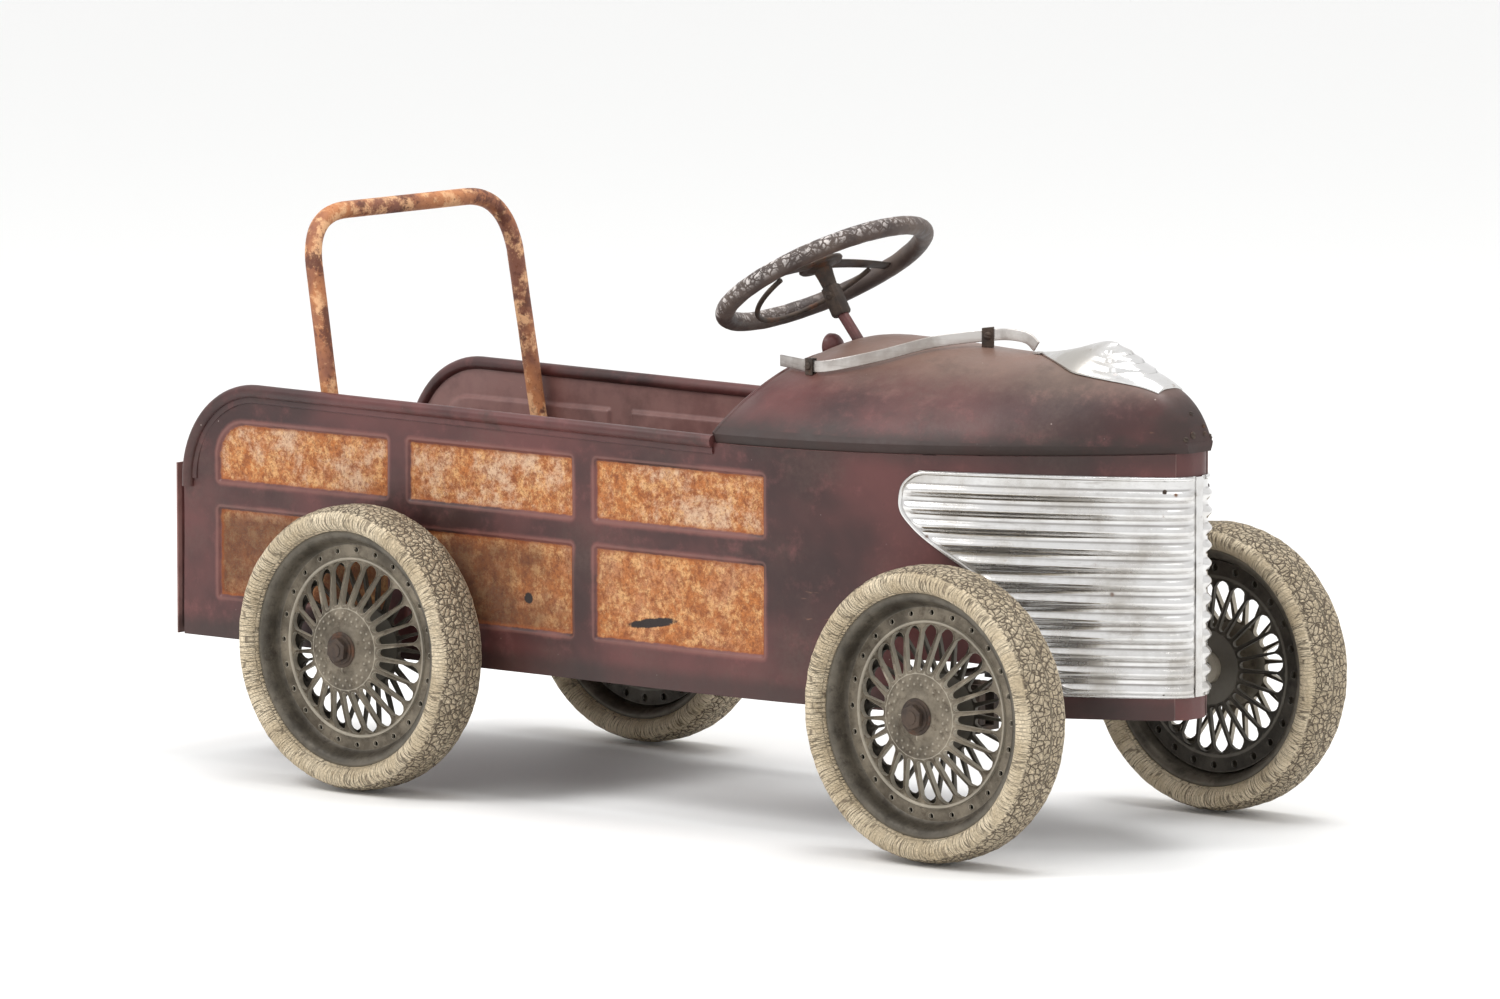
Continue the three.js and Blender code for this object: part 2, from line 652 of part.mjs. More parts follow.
// Low bright dome with a pointed tail and a narrowed, sloping front.
function ornament() {
  return loft(ORNAMENT_STATIONS.map(([x, half, top]) => {
    const ring = [];
    for (let k = 0; k <= 6; k += 1) {
      const across = -1 + k / 3;
      const y = half * across;
      ring.push([x, y, hoodZ(x, y) + GAP + 2 + top * (1 - across ** 2)]);
    }
    for (let k = 6; k >= 0; k -= 1) {
      const y = half * (-1 + k / 3);
      ring.push([x, y, hoodZ(x, y) + GAP + 1]);
    }
    return ring.reverse();
  }));
}

add(car, 'hood_ornament', ornament(), 'bright');

// Half dome on the cowl's edge, flat towards the seat.
function cowlLug() {
  const seat = hoodZ(LUG_X, 0);
  const dome = new THREE.SphereGeometry(LUG_RADIUS, 12, 8).scale(1, 1.1, 1).translate(LUG_X, 0, seat);
  const behind = box(0, COWL_X, -20, 20, BELT_REAR_Z, seat + 50);
  const below = box(0, LUG_X + 50, -20, 20, BELT_REAR_Z, seat - 6);
  return cut(dome, hoodClearance(), behind, below);
}

// Folded clip that straddles the strap and stands on the hood.
function strapClip(station) {
  const curve = strapCurve();
  const fraction = station / (STRAP_STATIONS.length - 1);
  const [place, forward] = [curve.getPoint(fraction), curve.getTangent(fraction)];
  const top = place.z + STRAP_HEIGHT;
  const placed = (geometry) => geometry.rotateZ(Math.atan2(forward.y, forward.x)).translate(place.x, place.y, 0);
  const block = placed(box(-5.2, 5.2, -3.4, 3.4, place.z - 12, top + 3));
  const slot = placed(box(-8, 8, -2, 2, place.z - 14, top + 1.6));
  return cut(block, hoodClearance(), slot);
}

add(car, 'cowl_lug', cowlLug(), 'paint');
add(car, 'strap_clip_rear', strapClip(CLIP_STATIONS.rear), 'steel');
add(car, 'strap_clip_front', strapClip(CLIP_STATIONS.front), 'steel');

// ---------- seat, frame, tailgate and push hoop ----------

const INNER_Y = BODY_HALF_WIDTH - SHEET - PANEL_DEPTH - GAP; // clear of the pressed panels

// Pan with a turned-down front lip. It is notched round the frame rails and the hoop's feet.
function seatPan() {
  const outline = [
    [-500, SEAT_Z], [-60, SEAT_Z], [-54, SEAT_Z - 2], [-51, SEAT_Z - 8],
    [-53, SEAT_Z - 8], [-55.4, SEAT_Z - 3.6], [-60, SEAT_Z - SEAT_SHEET], [-500, SEAT_Z - SEAT_SHEET],
  ];
  const pan = slabXZ(outline.reverse(), -INNER_Y, INNER_Y);
  const notches = SIDES.flatMap(([, sign]) => {
    const between = (low, high) => [Math.min(sign * low, sign * high), Math.max(sign * low, sign * high)];
    const [footX, footY] = [HOOP_FOOT.x, HOOP_FOOT.y];
    return [
      box(-100, 0, ...between(FRAME_INNER_Y - 1, FRAME_OUTER_Y + 1), SILL_Z, FRAME_TOP_Z + GAP),
      box(footX - 14, footX + 12, ...between(footY - HOOP_TUBE - 1, BODY_HALF_WIDTH), SILL_Z, SEAT_Z + 5),
    ];
  });
  return cut(pan, ...notches);
}

function reversed(curve) {
  if (curve.isLineCurve3) return new THREE.LineCurve3(curve.v2, curve.v1);
  return new THREE.QuadraticBezierCurve3(curve.v2, curve.v1, curve.v0);
}

function pushHoop() {
  const path = new THREE.CurvePath();
  const point = (source, sign) => vec(source.x, source.y * sign, source.z);
  const corner = vec(HOOP_TOP.x, HOOP_KNEE.y - 2, HOOP_TOP.z);
  [1, -1].forEach((sign) => {
    const leg = new THREE.LineCurve3(point(HOOP_FOOT, sign), point(HOOP_KNEE, sign));
    const bend = new THREE.QuadraticBezierCurve3(
      point(HOOP_KNEE, sign), point(corner, sign), point(HOOP_TOP, sign));
    if (sign > 0) path.curves.push(leg, bend, new THREE.LineCurve3(point(HOOP_TOP, 1), point(HOOP_TOP, -1)));
    else path.curves.push(reversed(bend), reversed(leg));
  });
  return swept(path, circleShape(HOOP_TUBE, 8), 40);
}

// Rail along the body's floor, with the plate welded under it that carries the rear axle.
function frameRail() {
  const low = FRAME_TOP_Z - FRAME_HEIGHT;
  const rail = box(FRAME_REAR_X, FRAME_FRONT_X, FRAME_INNER_Y, FRAME_OUTER_Y, low, FRAME_TOP_Z);
  const outline = [[-18, low + 2], [-18, 140], [-12, 116], [12, 116], [18, 140], [18, low + 2]]
    .map(([x, z]) => [REAR_AXLE_X + x, z]);
  const axleHole = ringPoints(REAR_AXLE_X, AXLE_Z, AXLE_RADIUS + 0.8, 16).reverse();
  return join(rail, slabXZ(outline, FRAME_INNER_Y + 4, FRAME_OUTER_Y - 4, [axleHole]));
}

// Drop panel with two straps that turn on the hinge rod.
function tailgate() {
  const innerX = -HALF_LENGTH + SHEET;
  const panel = box(-HALF_LENGTH, innerX, -BODY_HALF_WIDTH, BODY_HALF_WIDTH, SILL_Z, TAILGATE_TOP_Z);
  const [strapLow, strapHigh] = [HINGE.z - 4, HINGE.z + 4];
  const strapOutline = [
    [innerX - 0.2, strapLow], [HINGE.x + 5, strapLow], [HINGE.x + 5, strapHigh], [innerX - 0.2, strapHigh],
  ];
  const eye = ringPoints(HINGE.x, HINGE.z, HINGE.radius + 0.5, 12).reverse();
  const straps = SIDES.map(([, sign]) => {
    const middle = sign * HINGE_STRAP_Y;
    return slabXZ(strapOutline, middle - HINGE_STRAP_HALF, middle + HINGE_STRAP_HALF, [eye]);
  });
  return join(panel, ...straps);
}

function hingeRod() {
  return bar(vec(HINGE.x, -INNER_Y, HINGE.z), vec(HINGE.x, INNER_Y, HINGE.z), HINGE.radius, 10);
}

addPair('frame_rail', frameRail(), 'steel');
add(car, 'seat_pan', seatPan(), 'paint');
add(car, 'push_hoop', pushHoop(), 'rust');
add(car, 'tailgate', tailgate(), 'paint');
add(car, 'tailgate_hinge_rod', hingeRod(), 'steel');

// ---------- wheels ----------

// Profiles are [radius, outward distance from the tyre's middle plane], revolved round local Y.
function revolved(profile, segments) {
  const points = profile.map(([radius, out]) => new THREE.Vector2(radius, out));
  points.push(points[0].clone());
  return new THREE.LatheGeometry(points, segments);
}

function petalHoles(count, points, low, high) {
  return Array.from({ length: count }, (_, i) => slabXZ(points, low, high).rotateY((i / count) * Math.PI * 2));
}

function tyre() {
  const wall = [[WHEEL_RADIUS, 12], [123, 24.5], [115, TYRE_HALF_WIDTH], [104.4, 19]];
  const half = [...wall, [104.4, 14.6], [97.4, 14.6]];
  const profile = [...half, ...half.map(([radius, out]) => [radius, -out]).reverse()];
  return revolved(profile, PETALS);
}

// Deep rim that the tyre sits on, with a turned-out lip on both sides.
function wheelRim() {
  const front = [[BARREL_INNER, 12], [97, 17.6], [RIM_RADIUS, 17.6], [RIM_RADIUS, 15.2], [97, 15.2]];
  const back = front.map(([radius, out]) => [radius, -out]).reverse();
  return revolved([...front, ...back].reverse(), PETALS);
}

// Dished disc in front, slotted between its spokes, with the hub's sleeve behind it.
function frontDisc() {
  const edge = BARREL_INNER - GAP;
  const profile = [
    [AXLE_BORE, 21], [HUB_FACE_RADIUS, 21], [74, 3.5], [edge, 3.5], [edge, 0.8], [74, 0.8],
    [HUB_FACE_RADIUS, 18], [14, 18], [14, -20], [AXLE_BORE, -20],
  ];
  const holes = petalHoles(PETALS, [[71, -4.6], [40, -1.2], [40, 1.2], [71, 4.6]], -2, 22);
  return cut(revolved(profile.reverse(), PETALS), ...holes);
}

// Shallower slotted disc behind it, with its holes half a step on.
function backDisc() {
  const edge = BARREL_INNER - 0.6;
  const profile = [
    [14.5, -13], [32, -13], [74, -4], [edge, -4], [edge, -6.4], [74, -6.4], [32, -15.4], [14.5, -15.4],
  ];
  const holes = petalHoles(PETALS / 2, [[70, -9], [36, -3], [36, 3], [70, 9]], -17, 0);
  return cut(revolved(profile.reverse(), PETALS / 2), ...holes);
}

function axleNut() {
  const points = (radius, sides) => ringPoints(0, 0, radius, sides).map(([x, y]) => new THREE.Vector2(x, y));
  const hex = new THREE.Shape(points(NUT_RADIUS, 6));
  hex.holes.push(new THREE.Path(points(AXLE_BORE, 12).reverse()));
  return new THREE.ExtrudeGeometry(hex, { depth: NUT_HEIGHT, bevelEnabled: false })
    .rotateX(-Math.PI / 2)
    .translate(0, 21.5, 0);
}

const WHEELS = SIDES.flatMap(([side, sign]) => [['rear', REAR_AXLE_X], ['front', FRONT_AXLE_X]]
  .map(([end, x]) => ({ name: `${end}_${side}`, sign, x })));

WHEELS.forEach(({ name, sign, x }) => {
  const group = new THREE.Group();
  group.position.set(x, sign * TRACK_HALF, AXLE_Z);
  if (sign < 0) group.rotation.z = Math.PI;
  car.add(group);
  add(group, `${name}_tyre`, tyre(), 'tyre');
  add(group, `${name}_rim`, wheelRim(), 'castMetal');
  add(group, `${name}_front_disc`, frontDisc(), 'castMetal');
  add(group, `${name}_back_disc`, backDisc(), 'castMetal');
  add(group, `${name}_axle_nut`, axleNut(), 'steel');
});

// ---------- rear crank axle, pedals and drive rods ----------

// Axle with a throw on each side, half a turn apart.
function crankAxle() {
  const axis = (y) => vec(REAR_AXLE_X, y, AXLE_Z);
  const throwPoint = (y) => vec(REAR_AXLE_X, y, AXLE_Z - Math.sign(y) * CRANK_THROW);
  const pieces = [bar(axis(-THROW_INNER_Y - 4), axis(THROW_INNER_Y + 4), AXLE_RADIUS)];
  [1, -1].forEach((sign) => {
    const [inner, outer] = [sign * THROW_INNER_Y, sign * THROW_OUTER_Y];
    pieces.push(bar(axis(outer - sign * 4), axis(sign * AXLE_END_Y), AXLE_RADIUS));
    pieces.push(bar(throwPoint(inner - sign * 4), throwPoint(outer + sign * 4), AXLE_RADIUS));
    [inner, outer].forEach((y) => {
      const low = Math.min(AXLE_Z, throwPoint(y).z) - 4;
      pieces.push(box(REAR_AXLE_X - 5.2, REAR_AXLE_X + 5.2, y - 5, y + 5, low, low + CRANK_THROW + 8));
    });
  });
  return join(...pieces);
}

// Hanging arm with the pins of its drive rod and its pad.
function pedalArm() {
  const low = PEDAL_PIVOT_Z - PEDAL_ARM_LENGTH;
  const outline = [[-9, PEDAL_PIVOT_Z - 6], [-7, low + 4], [7, low + 4], [9, PEDAL_PIVOT_Z - 6],
    [7, PEDAL_PIVOT_Z + 9], [-7, PEDAL_PIVOT_Z + 9]].map(([x, z]) => [PEDAL_PIVOT_X + x, z]);
  const eye = ringPoints(PEDAL_PIVOT_X, PEDAL_PIVOT_Z, 5.6, 12).reverse();
  const arm = slabXZ(outline, PEDAL_Y - 2.5, PEDAL_Y + 2.5, [eye]);
  const pinZ = PEDAL_PIVOT_Z - PEDAL_ROD_DROP;
  const pin = bar(vec(PEDAL_PIVOT_X, PEDAL_Y, pinZ), vec(PEDAL_PIVOT_X, PEDAL_Y - 10, pinZ), 3);
  const padPin = bar(vec(PEDAL_PIVOT_X, PEDAL_Y, low), vec(PEDAL_PIVOT_X, PEDAL_Y + 50, low), 4);
  const foot = box(PEDAL_PIVOT_X - 6, PEDAL_PIVOT_X + 6, PEDAL_Y - 2.5, PEDAL_Y + 2.5, low - 6, low + 6);
  return join(arm, pin, padPin, foot);
}

function pedalPad() {
  const low = PEDAL_PIVOT_Z - PEDAL_ARM_LENGTH;
  const block = box(PEDAL_PIVOT_X - 9, PEDAL_PIVOT_X + 9, PEDAL_Y + 4, PEDAL_Y + 46, low - 14, low + 14);
  return cut(block, bar(vec(PEDAL_PIVOT_X, 0, low), vec(PEDAL_PIVOT_X, 200, low), 4.6));
}

// Flat strap from the pedal arm's pin, where it has an eye, back to the crank throw.
function driveRod(sign) {
  const front = [PEDAL_PIVOT_X, PEDAL_PIVOT_Z - PEDAL_ROD_DROP];
  const rear = [REAR_AXLE_X, AXLE_Z - sign * CRANK_THROW];
  const outline = [[rear[0] + 4, rear[1] - 6], [front[0], front[1] - 6], [front[0] + 7, front[1]],
    [front[0], front[1] + 6], [rear[0] + 4, rear[1] + 6], [rear[0] - 7, rear[1]]];
  const eye = ringPoints(front[0], front[1], 3.5, 10).reverse();
  return slabXZ(outline, PEDAL_Y - 7.5, PEDAL_Y - 4.5, [eye]);
}

function pedalCrossRod() {
  const reach = halfWidth(PEDAL_PIVOT_X) - SHEET - 3;
  const end = (y) => vec(PEDAL_PIVOT_X, y, PEDAL_PIVOT_Z);
  return bar(end(-reach), end(reach), PEDAL_CROSS_ROD_RADIUS);
}

add(car, 'rear_crank_axle', crankAxle(), 'steel');
add(car, 'pedal_cross_rod', pedalCrossRod(), 'steel');
addPair('pedal_arm', pedalArm(), 'steel');
addPair('pedal_pad', pedalPad(), 'pedal');
add(car, 'drive_rod_left', driveRod(1), 'steel');
add(car, 'drive_rod_right', mirrored(driveRod(-1)), 'steel');

// ---------- front axle and steering gear ----------

// Beam with a forked yoke at each end for the knuckle.
function frontAxle() {
  const beam = box(FRONT_AXLE_X - 7, FRONT_AXLE_X + 7, -126, 126, 119, 135);
  const yokeBox = (sign, nearY, farY, low, high) => box(FRONT_AXLE_X - 9, FRONT_AXLE_X + 9,
    Math.min(sign * nearY, sign * farY), Math.max(sign * nearY, sign * farY), low, high);
  const yokes = SIDES.flatMap(([, sign]) => [
    yokeBox(sign, 120, 149, YOKE_LOW_Z, YOKE_LOW_Z + YOKE_LUG),
    yokeBox(sign, 120, 149, YOKE_HIGH_Z - YOKE_LUG, YOKE_HIGH_Z),
    yokeBox(sign, 120, 127, YOKE_LOW_Z, YOKE_HIGH_Z),
  ]);
  const holes = SIDES.map(([, sign]) => {
    const kingpinAt = (z) => vec(FRONT_AXLE_X, sign * KINGPIN_Y, z);
    return bar(kingpinAt(YOKE_LOW_Z - 20), kingpinAt(YOKE_HIGH_Z + 20), KINGPIN_RADIUS + 0.8);
  });
  return cut(join(beam, ...yokes), ...holes);
}

// Barrel on its kingpin, with the stub axle and the steering arm that reaches back.
function knuckle() {
  const at = (y, z) => vec(FRONT_AXLE_X, y, z);
  const [low, high] = [YOKE_LOW_Z + YOKE_LUG + 1, YOKE_HIGH_Z - YOKE_LUG - 1];
  const barrel = bar(at(KINGPIN_Y, low), at(KINGPIN_Y, high), KNUCKLE_BARREL_RADIUS);
  const kingpin = bar(at(KINGPIN_Y, YOKE_LOW_Z - 3), at(KINGPIN_Y, YOKE_HIGH_Z + 3), KINGPIN_RADIUS);
  const stub = bar(at(KINGPIN_Y, AXLE_Z), at(AXLE_END_Y, AXLE_Z), AXLE_RADIUS);
  const arm = box(TIE_ROD_X - 6, FRONT_AXLE_X, KINGPIN_Y - 4, KINGPIN_Y + 4, 131, 136);
  return join(barrel, kingpin, stub, arm);
}

// Channel that ties the front axle to the body's floor edge on both sides.
function axleCradle() {
  const reach = halfWidth(FRONT_AXLE_X + 10) - SHEET - 2;
  const outline = [[-10, 136], [10, 136], [10, 170], [8, 170], [8, 138.4], [-8, 138.4], [-8, 170], [-10, 170]]
    .map(([x, z]) => [FRONT_AXLE_X + x, z]);
  return slabXZ(outline, -reach, reach);
}

function tieRod() {
  const end = (y) => vec(TIE_ROD_X, y, TIE_ROD_Z);
  return bar(end(-KINGPIN_Y - 8), end(KINGPIN_Y + 8), TIE_ROD_RADIUS);
}

add(car, 'front_axle_beam', frontAxle(), 'steel');
add(car, 'front_axle_cradle', axleCradle(), 'steel');
addPair('steering_knuckle', knuckle(), 'steel');
add(car, 'tie_rod', tieRod(), 'steel');

export default car;
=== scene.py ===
import json
import math

import bmesh
import bpy
import numpy as np
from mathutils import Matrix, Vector, noise


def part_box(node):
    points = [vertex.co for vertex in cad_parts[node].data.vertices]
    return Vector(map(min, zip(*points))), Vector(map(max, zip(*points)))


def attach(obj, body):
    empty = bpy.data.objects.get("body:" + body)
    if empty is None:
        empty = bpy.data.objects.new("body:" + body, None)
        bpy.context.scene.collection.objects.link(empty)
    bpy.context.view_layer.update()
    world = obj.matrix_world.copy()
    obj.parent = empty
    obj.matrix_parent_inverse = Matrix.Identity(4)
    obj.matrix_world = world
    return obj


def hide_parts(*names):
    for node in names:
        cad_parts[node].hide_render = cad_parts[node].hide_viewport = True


# Shapes are worked out in millimetres, in the row frame: +X forward, +Y to the driver's left, +Z up.
MM = 0.001

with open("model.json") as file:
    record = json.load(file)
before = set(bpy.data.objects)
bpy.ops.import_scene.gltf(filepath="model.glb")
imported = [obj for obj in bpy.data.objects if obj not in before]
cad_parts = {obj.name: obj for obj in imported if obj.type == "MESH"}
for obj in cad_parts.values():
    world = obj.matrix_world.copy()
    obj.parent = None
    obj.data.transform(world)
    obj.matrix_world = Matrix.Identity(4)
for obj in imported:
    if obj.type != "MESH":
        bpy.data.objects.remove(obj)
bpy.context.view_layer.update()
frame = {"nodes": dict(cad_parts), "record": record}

BODY_OF = {node: body for body, nodes in frame["record"]["behaviour"]["bodies"].items() for node in nodes}
SLOT_OF = {row["node"]: row["material_slot"] for row in frame["record"]["subparts"]}


def box_mm(node):
    low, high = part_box(node)
    return np.array(low) / MM, np.array(high) / MM


# ---------- driving dimensions, read from the frame ----------

SIDES = (("left", 1), ("right", -1))
SHEET = 1.6
side_low, side_high = box_mm("side_panel_left")
rail_low, rail_high = box_mm("top_rail_left")
hood_low, hood_high = box_mm("hood")
grille_rear_x_low = box_mm("grille_left")[0][0]

SILL_Z = side_low[2]
SIDE_REAR_X, SIDE_FRONT_X = side_low[0], side_high[0]
RAIL_RADIUS = (rail_high[1] - rail_low[1]) / 2
BODY_HALF_WIDTH = rail_high[1] - RAIL_RADIUS
RAIL_Z = rail_high[2] - RAIL_RADIUS
COWL_X, NOSE_X = hood_low[0], hood_high[0]
CREST_Z = hood_high[2]
BELT_REAR_Z = hood_low[2]
BELT_FRONT_Z = side_high[2] + 0.4


# ---------- procedural materials ----------

def rgb(red, green, blue):
    """A colour given in display values from 0 to 255, as the shader's linear one."""
    linear = [((c / 255 + 0.055) / 1.055) ** 2.4 if c > 10 else c / 255 / 12.92 for c in (red, green, blue)]
    return (*linear, 1.0)


class Finish:
    """A procedural material being built. An input may be a plain value or another node's socket."""

    def __init__(self, name):
        self.material = bpy.data.materials.new(name)
        self.material.use_nodes = True
        self.tree = self.material.node_tree
        self.shader = self.tree.nodes["Principled BSDF"]
        self.place = self.node("ShaderNodeTexCoord").outputs["Object"]

    def node(self, kind, inputs=None, **settings):
        made = self.tree.nodes.new(kind)
        for key, value in settings.items():
            setattr(made, key, value)
        for key, value in (inputs or {}).items():
            self.feed(made.inputs[key], value)
        return made

    def feed(self, socket, value):
        if isinstance(value, bpy.types.NodeSocket):
            self.tree.links.new(value, socket)
        else:
            socket.default_value = value

    def noise(self, scale, detail=5.0, rough=0.6, place=None, twist=0.0):
        made = self.node("ShaderNodeTexNoise", {
            "Vector": place or self.place, "Scale": scale, "Detail": detail,
            "Roughness": rough, "Distortion": twist})
        return made.outputs[0]

    def cells(self, scale, feature="DISTANCE_TO_EDGE", place=None):
        inputs = {"Vector": place or self.place, "Scale": scale}
        return self.node("ShaderNodeTexVoronoi", inputs, feature=feature).outputs["Distance"]

    def stretched(self, x, y, z, place=None):
        made = self.node("ShaderNodeMapping", {"Vector": place or self.place, "Scale": (x, y, z)})
        return made.outputs["Vector"]

    def vector_maths(self, operation, inputs):
        return self.node("ShaderNodeVectorMath", inputs, operation=operation).outputs[0]

    def warped(self, scale, amount, place=None):
        """The place, pushed about by noise."""
        start = place or self.place
        push = self.node("ShaderNodeTexNoise", {"Vector": start, "Scale": scale, "Detail": 3.0})
        centred = self.vector_maths("SUBTRACT", {0: push.outputs["Color"], 1: (0.5, 0.5, 0.5)})
        scaled = self.vector_maths("SCALE", {0: centred, "Scale": amount})
        return self.vector_maths("ADD", {0: start, 1: scaled})

    def span(self, value, low, high, to_low=0.0, to_high=1.0):
        """Smoothly maps low..high to to_low..to_high."""
        made = self.node("ShaderNodeMapRange", {
            "Value": value, "From Min": low, "From Max": high, "To Min": to_low, "To Max": to_high},
            interpolation_type="SMOOTHSTEP")
        return made.outputs["Result"]

    def maths(self, operation, first, second):
        return self.node("ShaderNodeMath", {0: first, 1: second}, operation=operation).outputs[0]

    def times(self, first, second):
        return self.maths("MULTIPLY", first, second)

    def plus(self, first, second):
        return self.maths("ADD", first, second)

    def minus(self, first, second):
        return self.maths("SUBTRACT", first, second)

    def greater(self, first, second):
        return self.maths("MAXIMUM", first, second)

    def mix(self, share, first, second):
        return self.node("ShaderNodeMix", {0: share, 6: first, 7: second}, data_type="RGBA").outputs[2]

    def axis(self, name):
        """The height, length or width that the place is at."""
        return self.node("ShaderNodeSeparateXYZ", {0: self.place}).outputs[name]

    def attribute(self, name):
        return self.node("ShaderNodeAttribute", attribute_name=name).outputs["Fac"]

    def bump(self, height, distance, under=None):
        inputs = {"Height": height, "Distance": distance, "Strength": 1.0}
        if under is not None:
            inputs["Normal"] = under
        return self.node("ShaderNodeBump", inputs).outputs["Normal"]

    def done(self, colour, rough, normal, metallic=0.0, **plain):
        self.feed(self.shader.inputs["Base Color"], colour)
        self.feed(self.shader.inputs["Roughness"], rough)
        self.feed(self.shader.inputs["Normal"], normal)
        self.feed(self.shader.inputs["Metallic"], metallic)
        for key, value in plain.items():
            self.feed(self.shader.inputs[key.replace("_", " ")], value)
        return self.material


# Colours that more than one finish uses.
PAINT_DARK = rgb(52, 28, 27)
PAINT = rgb(94, 51, 49)
PAINT_PINK = rgb(126, 76, 74)
GRIME_AND_SHADE = rgb(40, 31, 27)
RUST_DEEP = rgb(132, 72, 40)
RUST = rgb(188, 116, 60)
RUST_PALE = rgb(222, 172, 116)
PANEL_PALE = rgb(214, 186, 158)
CHALK_WHITE = rgb(196, 180, 172)


def faded_paint(f):
    """Oxblood paint, duller and pinker in places: its colour, and the noises that it shares with the bump."""
    large = f.noise(6, 4, 0.55, twist=0.3)
    patches = f.noise(34, 7, 0.72)
    fine = f.noise(210, 5, 0.7)
    colour = f.mix(f.span(large, 0.36, 0.64), PAINT_DARK, PAINT)
    colour = f.mix(f.span(patches, 0.50, 0.78, 0, 0.55), colour, PAINT_PINK)
    haze = f.times(f.span(f.noise(9, 6, 0.7), 0.46, 0.70), f.span(fine, 0.36, 0.60, 0.3, 0.75))
    colour = f.mix(f.times(haze, 0.55), colour, rgb(88, 68, 60))
    colour = f.mix(f.span(fine, 0.60, 0.78, 0, 0.45), colour, PAINT_DARK)
    scrapes = f.noise(46, 4, 0.7, f.stretched(0.25, 1.0, 1.6))
    scrapes = f.times(f.span(scrapes, 0.66, 0.72), f.span(f.noise(8, 2), 0.50, 0.60))
    colour = f.mix(f.times(scrapes, 0.5), colour, rgb(150, 108, 84))
    flecks = f.times(f.span(f.cells(95, "F1"), 0.09, 0.03), f.span(f.noise(31, 2), 0.56, 0.66))
    colour = f.mix(f.times(flecks, 0.8), colour, CHALK_WHITE)
    return colour, patches, fine


def weathered(f, colour, patches, fine, grime_and_shade):
    """Brown-black dirt over the paint, with any painted shade that is passed in with it, and the surface that
    goes with both.
    """
    colour = f.mix(f.times(grime_and_shade, 0.8), colour, GRIME_AND_SHADE)
    rough = f.plus(f.span(patches, 0.3, 0.7, 0.36, 0.52), f.times(grime_and_shade, 0.15))
    dents = f.bump(f.noise(24, 3, 0.5), 0.0007)
    normal = f.bump(fine, 0.00012, f.bump(patches, 0.0003, dents))
    return f.done(colour, rough, normal, metallic=0.05)


def paint_finish(name="oxblood_paint"):
    f = Finish(name)
    colour, patches, fine = faded_paint(f)
    grime_and_shade = f.times(f.span(f.noise(18, 6, 0.7), 0.52, 0.70), 0.6)
    return weathered(f, colour, patches, fine, grime_and_shade)


def hood_finish():
    """Paint with a painted highlight along the crest and painted shade along the lower edge; darker over the
    nose and in dirty blotches.
    """
    f = Finish("hood_paint")
    colour, patches, fine = faded_paint(f)
    height, length = f.axis("Z"), f.axis("X")
    ragged = f.times(f.minus(f.noise(34, 6, 0.7), 0.5), 0.030)
    # Painted highlight: paler along the crest, where light falls from above.
    crest_highlight = f.span(f.plus(height, ragged), 0.374, 0.412)
    colour = f.mix(f.times(crest_highlight, 0.65), colour, rgb(128, 106, 92))
    # Darker along the lower edge, with a sharp line of painted shade on the turned-in hem; this mask carries
    # painted shade as well as dirt.
    low_edge_and_hem_shade = f.greater(f.span(f.plus(height, ragged), 0.358, 0.343), f.span(height, 0.3475, 0.3455))
    nose = f.span(f.plus(length, f.times(ragged, 1.6)), 0.484, 0.512)
    grime_and_shade = f.greater(low_edge_and_hem_shade, f.times(nose, 0.9))
    blotches = f.span(f.noise(15, 5, 0.65), 0.55, 0.75, 0, 0.5)
    return weathered(f, colour, patches, fine, f.greater(grime_and_shade, blotches))


# Dark marks on the right side: middle X and Z, half length and half height in metres, and slope.
SIDE_MARKS = ((0.038, 0.169, 0.028, 0.0042, 0.15), (-0.104, 0.179, 0.005, 0.005, 0))


